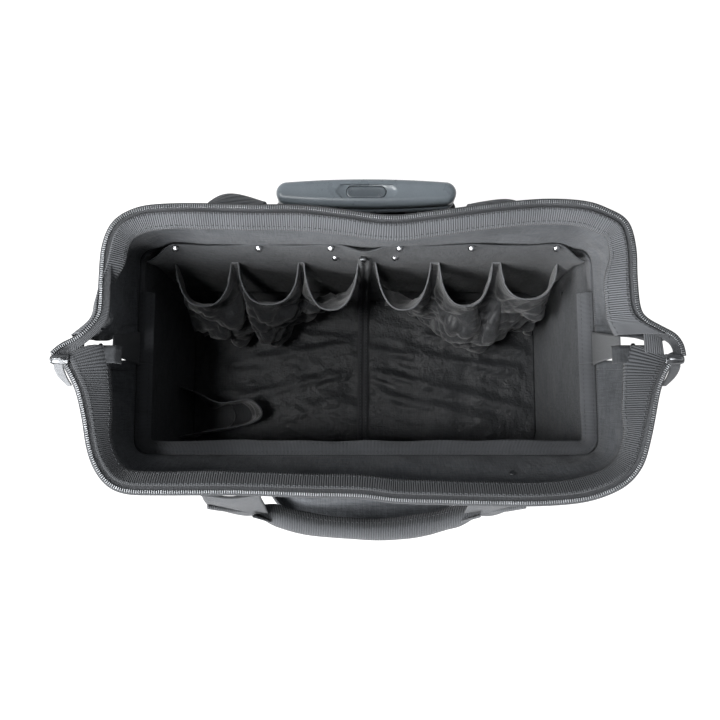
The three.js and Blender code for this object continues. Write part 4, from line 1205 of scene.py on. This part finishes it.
def add_lining():
    """The rear lining, held by rivets along its top edge"""
    reach = half_width - 0.011
    lean = 0.01

    def place(u, w):
        x = blend_of(reach, -reach, u)
        z = blend_of(lining_low.z, LINING_TOP_Z, w)
        rise = (z - lining_top_z + lean) / (LINING_TOP_Z - lining_top_z + lean)
        y = blend_of(lining_y - 0.0004, LINING_TOP_Y, ease(rise))
        dip = lining_dip(x) * ease((w - 0.72) / 0.28)
        ends = 0.006 * ease((abs(x) - lining_half) / 0.03)
        return Vector((x, y - dip * 0.55 - ends, z - dip))

    def slack(spot):
        return ease((spot.z - lining_low.z) / 0.03) * ease((lining_top_z - spot.z) / 0.02)

    mesh = woven(220, 60, place)
    rumple(mesh, 0.0018, 0.05, 9.2, slack)
    # The rear lining's cloth is a darkened copy of the lining: painted shade
    cloth = piece("rear_lining_cloth", mesh, wall_lining_painted_shade, "bag", ("rear_lining",))
    thicken(cloth, THIN_CLOTH)
    spots = [(x, LINING_TOP_Y - 0.0038, LINING_TOP_Z - 0.0045 - lining_dip(x)) for x in RIVET_SPOTS]
    spots += [(x, lining_y - 0.0016, LOW_RIVET_Z) for x in LOW_RIVETS]
    heads = rivet_heads(LINING_DOME, [(spot, (0, -0.75, 0.66)) for spot in spots])
    piece("lining_rivets", heads, bright_rivet, "bag", sharp=60)


def add_centre_seam():
    """Double-stitched strip down the rear wall and along the floor, with the zip end above it"""
    route = smooth_line([(-0.001, lining_y - 0.0022, 0.272), (-0.001, lining_y - 0.003, 0.18),
                         (-0.001, lining_y - 0.003, 0.09), (-0.001, lining_y - 0.006, 0.045),
                         (-0.001, lining_y - 0.03, floor_z + 0.0062), (-0.0015, 0.02, floor_z + 0.0062),
                         (-0.002, -0.03, floor_z + 0.006), (-0.002, front_y + 0.012, floor_z + 0.0058)], 14)

    def out(u):
        return route.heading(u).cross(ACROSS)

    def place(u, w):
        puckers = 0.0005 * math.sin(u * 520) * swell(w)
        lift = 0.0034 * swell(2 * w) ** 2 + puckers
        return route.at(u) + ACROSS * blend_of(-SEAM_WIDTH / 2, SEAM_WIDTH / 2, w) + out(u) * lift

    mesh = outward(woven(300, 18, place))
    rumple(mesh, 0.001, 0.02, 8.8)
    thicken(piece("centre_seam_strip", mesh, zip_tape, "bag"), HEAVY_CLOTH, CENTRED)
    for name, sign in SIDES.items():
        spots = [route.at(u) + ACROSS * sign * 0.0036 + out(u) * 0.0044 for u in even(160)]
        sew(f"centre_seam_stitching_{name}", spots, [out(u) for u in even(160)], "bag", raw_edge)
    hang = Vector((-0.0025, lining_y - 0.0075, 0.2775))
    tab = block((0.0042, 0.0018, 0.016), 0.0008, 2, hang - UP * 0.008)
    piece("inner_zip_pull", tab, bright_rivet, "bag", sharp=40)
    body = block((0.007, 0.005, 0.006), 0.0014, 2, hang + Vector((0, 0.0015, 0.0025)))
    piece("inner_zip_slider", body, plated_steel, "bag", sharp=40)


def pouch_mouth(name, x):
    """How far the mouth edge of a row of pockets stands off the wall"""
    for centre, half, gape, square in POUCHES[name]["pockets"]:
        if abs(x - centre) < half:
            return gape * (1 - (abs(x - centre) / half) ** 2.6) ** square
    return 0.0


def pouch_bag(name, x):
    """How far the slack cloth of a row of pockets hangs forward near the floor"""
    far = ease((abs(x) - 0.012) / 0.11)
    if name == "left":
        return 0.012 + 0.05 * far * (0.86 + 0.14 * math.cos(110 * x))
    return 0.012 + 0.052 * far * (1 - 0.35 * ease((abs(x) - 0.15) / 0.03))


def add_tool_pockets():
    """Two rows of gaping pockets on the rear lining, crumpled where they hang"""
    for name, pouches in POUCHES.items():
        row, focus, seed = pouches["pockets"], pouches["focus"], pouches["seed"]
        first, last = row[0][0] - row[0][1] - 0.003, row[-1][0] + row[-1][1] + 0.003

        def place(u, w):
            x = blend_of(last, first, u)
            mouth = pouch_mouth(name, x)
            down = 1 - w
            pinched = mouth * (1 - 0.25 * swell(min(down * 2, 1)))
            depth = blend_of(pinched, pouch_bag(name, x), ease(down / 0.62))
            depth *= ease(w / 0.07) * 0.55 + 0.45
            gather = 0.0036 * swell(w) * ease(down / 0.5)
            drift = (focus - x) * 0.16 * ease(down / 0.75) * ease((0.21 - abs(x)) / 0.03)
            z = blend_of(POUCH_FOOT_Z, pocket_top_z, w) - 0.004 * (mouth > 0.02) * w ** 6
            return Vector((x + drift, lining_y - 0.0016 - depth - gather, z))

        def crumple(spot):
            push = 0.0062 * ridges(spot, 0.056, seed) + 0.003 * ridges(spot, 0.027, seed + 1.3)
            push += 0.0011 * ridges(spot, 0.013, seed + 2.9)
            loose = ease((pocket_top_z - 0.008 - spot.z) / 0.06) * ease((lining_y - 0.008 - spot.y) / 0.02)
            return push * loose

        mesh = woven(220, 120, place)
        shift(mesh, crumple)
        for vert in mesh.verts:
            vert.co.y = min(vert.co.y, lining_y - 0.0014)
        bmesh.ops.smooth_vert(mesh, verts=mesh.verts, factor=0.25, use_axis_x=True, use_axis_y=True,
                              use_axis_z=True)
        cloth = piece(f"tool_pouch_{name}", mesh, pouch, "bag", (f"tool_pockets_{name}",))
        thicken(cloth, POUCH_CLOTH)
        # The mouth edge is lighter than its pouch: painted highlight
        edge = edge_cord([place(share, 1.0) + UP * 0.0006 for share in even(300)], POUCH_EDGE, 300)
        piece(f"pouch_edge_{name}", edge, pouch_edge_painted_highlight, "bag")


def add_corner_pocket():
    """Slack pouch sewn to the left wall, its mouth held open by its stiff edge"""
    low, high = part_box("corner_pocket")
    wall_x = low.x + 0.0006
    rim = smooth_line([(wall_x, -0.009, 0), (-0.2095, -0.0157, 0), (-0.180, -0.0285, 0),
                       (-0.1445, -0.0240, 0), (-0.1285, -0.0400, 0), (-0.1430, -0.0535, 0),
                       (-0.203, -0.0655, 0), (wall_x, -0.0705, 0)])

    def place(u, w):
        spot = rim.at(u)
        full = profile_at([(0, 0.55), (0.2, 0.8), (0.5, 0.9), (1, 1)], w)
        tall = high.z - 0.004 - 0.012 * ease((spot.x - wall_x) / 0.09)
        return Vector((blend_of(wall_x, spot.x, full), spot.y, blend_of(floor_z + 0.004, tall, w)))

    def slack(spot):
        return ease((spot.x - wall_x - 0.004) / 0.02) * ease((0.075 - spot.z) / 0.03)

    mesh = woven(110, 40, place)
    rumple(mesh, 0.006, 0.03, 3.9, slack)
    cloth = piece("corner_pouch", outward(mesh), pouch, "bag", ("corner_pocket",))
    thicken(cloth, POUCH_CLOTH, CENTRED)
    # The mouth edge is lighter than its pouch: painted highlight
    edge = edge_cord([place(share, 1.0) + UP * 0.0004 for share in even(120)], POUCH_EDGE, 160)
    piece("corner_pouch_edge", edge, pouch_edge_painted_highlight, "bag")


# Outside of the bag
def add_front_pocket():
    """Gaping pouch sewn to the outside of the front"""
    low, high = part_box("front_pocket")
    wall_y = high.y - 0.0045
    reach = high.y - low.y + 0.006

    def place(u, w):
        mouth = max(1 - abs(2 * u - 1) ** 5, 0.0) ** 0.6
        full = profile_at([(0, 0.25), (0.1, 0.6), (0.45, 0.88), (1, 1)], w)
        z = blend_of(low.z, high.z + 0.003, w) - 0.004 * mouth * w ** 4
        return Vector((blend_of(low.x, high.x, u), wall_y - reach * mouth * full, z))

    def hood(u, w):
        spot = place(u, 0.98)
        back = Vector((spot.x, high.y - 0.0042, spot.z + 0.001))
        crest = math.exp(-((w - 0.3 - 0.28 * u) / 0.1) ** 2) * ease(4 * u * (1 - u))
        return spot.lerp(back, w) - UP * (0.009 * swell(w) - 0.012 * crest)

    def slack(spot):
        return ease((high.y - 0.01 - spot.y) / 0.02) * ease((high.z - spot.z) / 0.02)

    def hood_slack(spot):
        return ease((high.y - 0.008 - spot.y) / 0.015) * ease((spot.y - low.y) / 0.01)

    mesh = woven(160, 60, place)
    rumple(mesh, 0.0048, 0.05, 6.6, slack)
    cloth = piece("front_pouch", mesh, charcoal, "bag", ("front_pocket",), inner=flap_inside)
    thicken(cloth, HEAVY_CLOTH, inner=True)
    edge = edge_cord([place(share, 1.0) for share in even(160)], 0.0018, 200)
    piece("front_pouch_binding", edge, grosgrain, "bag")
    well = outward(woven(110, 40, hood))
    rumple(well, 0.003, 0.05, 1.6, hood_slack)
    thicken(piece("front_pouch_inner", well, flap_inside, "bag"), THIN_CLOTH, CENTRED)
    for name, sign in SIDES.items():
        x = sign * (high.x - 0.004)
        seam = [Vector((x, high.y - 0.0075, blend_of(low.z, high.z, share))) for share in even(20)]
        sew(f"front_pouch_stitching_{name}", seam, [Vector((0, -1, 0))], "bag")


# Carry handles: how far the roll stands off, its bow, section and lift, and how far its legs bulge
HANDLES = {
    "front": {"side": -1, "reach": 0.0185, "bow": 0.0165, "thick": 0.0098, "tall": 0.0132, "lift": 0.058,
              "bulge": {"left": 0.0, "right": 0.0}},
    "rear": {"side": 1, "reach": 0.0095, "bow": 0.0, "thick": 0.0066, "tall": 0.0135, "lift": 0.058,
             "bulge": {"left": 0.0138, "right": 0.0096}},
}

# Corners of the slanted fold at each end of a roll: place across, rise and distance outwards
FOLD_CORNERS = ((0.0885, 0.011, 0.006), (0.104, 0.034, 0.0045), (0.106, -0.002, 0.0075))


def add_handle_leg(half, name, hinge, knee):
    """A webbing leg that hangs from the rim and is folded at a slant into the roll"""
    side, reach, bulge = HANDLES[half]["side"], HANDLES[half]["reach"], HANDLES[half]["bulge"][name]
    sign = SIDES[name]
    drop = hinge.z - knee.z
    near = bulge * 0.5
    offsets = ((-0.0003, 0.006), (0.0006 + near * 0.75, near * 0.45),
               (reach * 0.25 + near * 1.1, -drop * 0.12), (reach * 0.58 + near * 0.75, -drop * 0.42))
    spots = [(0, hinge.y + side * out, hinge.z + rise) for out, rise in offsets]
    spots += [(0, knee.y + side * 0.0008, knee.z + 0.012), (0, knee.y, knee.z - 0.006)]
    route = smooth_line(spots, 10)

    def place(u, w):
        across = w if sign < 0 else 1 - w
        spot = route.at(u * blend_of(0.42, 1.0, across ** 0.8))
        crown = bulge * 0.72 * swell(across ** 0.8) ** 1.3
        fall = ease((spot.z - knee.z) / drop) * ease((hinge.z + 0.006 - spot.z) / 0.006)
        y = spot.y + 0.0012 * math.cos(math.pi * w * 2) + side * crown * fall
        return Vector((sign * LEG_X + blend_of(-LEG_HALF, LEG_HALF, w), y, spot.z))

    leg = outward(woven(60, 24, place))
    rumple(leg, 0.0014, 0.03, 2.2, lambda spot: ease((hinge.z - 0.006 - spot.z) / 0.02))
    strap = piece(f"{half}_handle_leg_{name}", leg, grosgrain, f"{half}_handle")
    thicken(strap, LEG_WEBBING, CENTRED)


def add_handle(half):
    """Webbing legs sewn under the rim, folded over at a slant into a rolled middle"""
    shape = HANDLES[half]
    side, reach, thick, tall = shape["side"], shape["reach"], shape["thick"], shape["tall"]
    body = f"{half}_handle"
    low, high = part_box(body)
    hinge = Vector((0, high.y - 0.0015 if half == "front" else low.y + 0.0015, high.z))
    roll = Vector((0, hinge.y + side * reach, low.z + 0.014))
    for name in SIDES:
        add_handle_leg(half, name, hinge, roll)

    def spine(x):
        share = min(abs(x) / 0.1, 1.0)
        up = ease((abs(x) - 0.086) / 0.07)
        y = roll.y + side * shape["bow"] * (1 - share * share) - side * reach * 0.62 * up
        return Vector((x, y, roll.z + shape["lift"] * up))

    def grip(u, w):
        x = blend_of(-LEG_X - LEG_HALF + 0.001, LEG_X + LEG_HALF - 0.001, u)
        flat = ease((abs(x) - 0.084) / 0.03)
        half_y = blend_of(thick, 0.0028, flat) * blend_of(1, 0.7, ease((abs(x) - 0.12) / 0.02))
        half_z = blend_of(tall, 0.0118, flat) * blend_of(1, 0.45, ease((abs(x) - 0.112) / 0.03))
        turn = 2 * math.pi * w
        lump = 1 + 0.1 * math.cos(2 * turn + 1.1) * (1 - flat)
        y = half_y * lump * math.cos(turn) + side * 0.0016 * flat
        return spine(x) + Vector((0, y, half_z * math.sin(turn)))

    mesh = woven(220, 32, grip, joined=True)
    bmesh.ops.holes_fill(mesh, edges=[edge for edge in mesh.edges if edge.is_boundary], sides=0)
    rumple(mesh, 0.0018, 0.03, 5.1 + side)
    piece(f"{half}_handle_roll", outward(mesh), grosgrain, body, (f"{half}_handle",))
    for name, sign in SIDES.items():
        knee_z = spine(sign * 0.094).z
        corner = bmesh.new()
        corner.faces.new([corner.verts.new((sign * x, spine(x).y + side * out, knee_z + rise))
                          for x, rise, out in FOLD_CORNERS])
        draw_out(corner, (0, -side * LEG_WEBBING, 0))
        outward(corner)
        round_edges(corner, corner.edges, 0.0007)
        lay_threads(corner, lambda vert: (vert.co.z + vert.co.x, vert.co.x - vert.co.z))
        piece(f"{half}_handle_fold_{name}", corner, grosgrain, body, sharp=40)
    seam = Vector((0, -side * thick * 0.72, tall * 0.74))
    row = [spine(blend_of(-0.082, 0.082, share)) + seam for share in even(60)]
    sew(f"{half}_handle_stitching", row, [Vector((0, -side * 0.6, 0.8))], body)


# Trolley
GRIP_END = 0.0105
GRIP_ROUND = 0.0065
GRIP_LIP = 0.0006
BUTTON_HALF = 0.013
BUTTON_END = 0.006
HOLE_END = 0.0063
BUTTON_ROUND = 0.0014
DISH_HALF_X, DISH_HALF_Y, DISH_DEPTH = 0.0285, 0.0112, 0.0036
SLEEVE_CORNER = 0.009


def grip_outline(share, inset, half, end, bow):
    """The grip in plan: bowed long sides between round ends"""
    radius = end - inset
    first = share < 0.5
    run = share * 4 if first else share * 4 - 2
    if run < 1:
        spot = Vector((blend_of(-half, half, run), -radius - bow * 4 * run * (1 - run), 0))
    else:
        turn = math.pi * (run - 1.5)
        spot = Vector((half + radius * math.cos(turn), radius * math.sin(turn), 0))
    return spot if first else -spot


def shell_mesh(rings, columns):
    """A moulding through closed rings, each a function of the way round"""

    def place(u, w):
        run = w * (len(rings) - 1)
        index = min(int(run), len(rings) - 2)
        return rings[index](u).lerp(rings[index + 1](u), run - index)

    return outward(woven(columns, len(rings) - 1, place, joined=True))


def rounded(ring, radius, face_z, back, steps):
    """Rings over a rounded edge, up to a face"""
    rings = []
    for turn in [math.pi / 2 * share for share in even(steps)[1:]]:
        rings.append(ring(radius * (1 - math.cos(turn)), face_z + back * radius * (1 - math.sin(turn))))
    return rings


def add_grip():
    """The two shells of the grip, with a dish round its release button"""
    low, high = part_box("grip_top")
    base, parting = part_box("grip_bottom")
    button_low, button_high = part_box("release_button")
    centre = middle("grip_top")
    top = high.z

    def rings_of(half, end, bow=0.0):
        def ring(inset, z):
            return lambda u: Vector((centre.x, centre.y, z)) + grip_outline(u, inset, half, end, bow)
        return ring

    grip = rings_of((high.x - low.x) / 2 - GRIP_END, GRIP_END, (high.y - low.y) / 2 - GRIP_END)
    hole = rings_of(BUTTON_HALF, HOLE_END)
    cap = rings_of(BUTTON_HALF, BUTTON_END)

    def dished(share):
        def at(u):
            spot = grip(GRIP_ROUND, top)(u).lerp(hole(0, top)(u), share)
            reach = ((spot.x - centre.x) / DISH_HALF_X) ** 2 + ((spot.y - centre.y) / DISH_HALF_Y) ** 2
            spot.z = top - DISH_DEPTH * math.sqrt(max(1 - reach, 0.0)) - 0.0003 * ease(1 - reach / 2)
            return spot
        return at

    rings = [grip(GRIP_LIP, low.z), grip(0.0, low.z + GRIP_LIP), grip(0.0, top - GRIP_ROUND)]
    rings += rounded(grip, GRIP_ROUND, top, -1, 8)
    rings += [dished(share) for share in even(40)[1:]]
    rings += [hole(-0.0002, top - 0.0046), hole(-0.0002, button_low.z)]
    piece("grip_upper_shell", shell_mesh(rings, 200), grip_moulding, "handle_stage",
          ("grip_top",), sharp=50)
    rings = [grip(GRIP_LIP, parting.z), grip(0.0, parting.z - GRIP_LIP), grip(0.0, base.z + GRIP_ROUND)]
    rings += rounded(grip, GRIP_ROUND, base.z, 1, 8)
    rings += [grip(blend_of(GRIP_ROUND, GRIP_END - 0.0002, share), base.z) for share in even(6)[1:]]
    piece("grip_lower_shell", shell_mesh(rings, 200), grip_moulding, "handle_stage",
          ("grip_bottom",), sharp=50)
    crown_z = button_high.z
    rings = [cap(0.0, button_low.z), cap(0.0, crown_z - BUTTON_ROUND)]
    rings += rounded(cap, BUTTON_ROUND, crown_z, -1, 4)
    rings += [cap(blend_of(BUTTON_ROUND, BUTTON_END, share), crown_z - 0.0006 * swell(share / 2))
              for share in even(6)[1:]]
    piece("release_cap", shell_mesh(rings, 120), button_moulding, "release_button",
          ("release_button",), sharp=50)


def add_sleeve():
    """Fabric sleeve round the lower tubes, slightly slack between collar and bracket"""
    low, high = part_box("trolley_sleeve")
    centre = (low + high) / 2
    flat = (high - low) / 2 - Vector((SLEEVE_CORNER, SLEEVE_CORNER, 0))
    loop = []
    for x, y, start in ((1, 1, 0), (-1, 1, 90), (-1, -1, 180), (1, -1, 270)):
        corner = (centre.x + x * flat.x, centre.y + y * flat.y)
        loop += arc(corner, SLEEVE_CORNER, start, start + 90, 8)
    line = Line(loop, closed=True)

    def place(u, w):
        out = -line.inward(u)
        slack = 0.0018 * swell(w) * max(out.y, 0)
        return line.at(u) + out * slack + UP * blend_of(low.z, high.z, w)

    mesh = woven(160, 50, place, joined=True)
    rumple(mesh, 0.0014, 0.04, 1.3, lambda spot: ease((spot.y - centre.y) / 0.006))
    sleeve = piece("trolley_sleeve_cloth", mesh, charcoal, "bag", ("trolley_sleeve",))
    thicken(sleeve, FLAP_CLOTH)
    faces = [-line.inward(share) for share in even(120)]
    for name, z in (("upper", high.z - 0.006), ("lower", low.z + 0.006)):
        spots = [line.at(share) + out * 0.0012 + UP * z for share, out in zip(even(120), faces)]
        sew(f"sleeve_stitching_{name}", spots, faces, "bag")


def add_wheels():
    """Tyres with circumferential grooves; hubs, axles and housings keep their solids"""
    bead = 0.0273
    for side in SIDES:
        low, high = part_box(f"tyre_{side}")
        half, radius = (high.x - low.x) / 2, (high.z - low.z) / 2
        wall = [(0.002 - half, bead), (0.0002 - half, bead + 0.0022), (-half, radius - 0.0045),
                (0.0012 - half, radius - 0.0022), (0.0034 - half, radius - 0.0006), (0.006 - half, radius)]
        tread = []
        for groove in (-0.0042, 0.0, 0.0042):
            tread += [(groove - 0.0011, radius), (groove - 0.0006, radius - 0.0013),
                      (groove + 0.0006, radius - 0.0013), (groove + 0.0011, radius)]
        far_wall = [(-along, reach) for along, reach in wall[::-1]]
        mesh = turned([*wall, *tread, *far_wall, wall[0]], (low + high) / 2, (1, 0, 0), 72)
        piece(f"tyre_tread_{side}", mesh, tyre_rubber, f"{side}_wheel", (f"tyre_{side}",), sharp=50)


# Finishes of the solids that stay as they are
def dress_solids():
    def both(*names):
        return [f"{name}_{side}" for name in names for side in SIDES]

    finishes = {
        base_moulding: ["base_tray", "trolley_collar", "trolley_bracket",
                        *both("front_foot", "wheel_housing", "wheel_hub")],
        drawn_tube: both("outer_tube", "mid_tube", "inner_tube"),
        plated_steel: ["release_yoke", "button_spring", *both("axle", "lock_bolt")],
        black_steel: both("pivot_rivet"),
    }
    for finish, nodes in finishes.items():
        for node in nodes:
            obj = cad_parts[node]
            obj.data.materials.clear()
            obj.data.materials.append(finish)
            obj.data.shade_smooth()
            weld = obj.modifiers.new("weld", "WELD")
            weld.merge_threshold = 1e-6
            crease = obj.modifiers.new("crease", "EDGE_SPLIT")
            crease.split_angle = math.radians(32)


set_camera()
set_stage()
add_body()
add_floor()
for half in MOUTHS:
    add_flap(half)
    add_rim(half)
    add_zip(half)
    add_handle(half)
add_zip_ends()
add_shoulder_binding()
add_slit_strips()
add_lining()
add_centre_seam()
add_tool_pockets()
add_corner_pocket()
add_front_pocket()
add_grip()
add_sleeve()
add_wheels()
dress_solids()
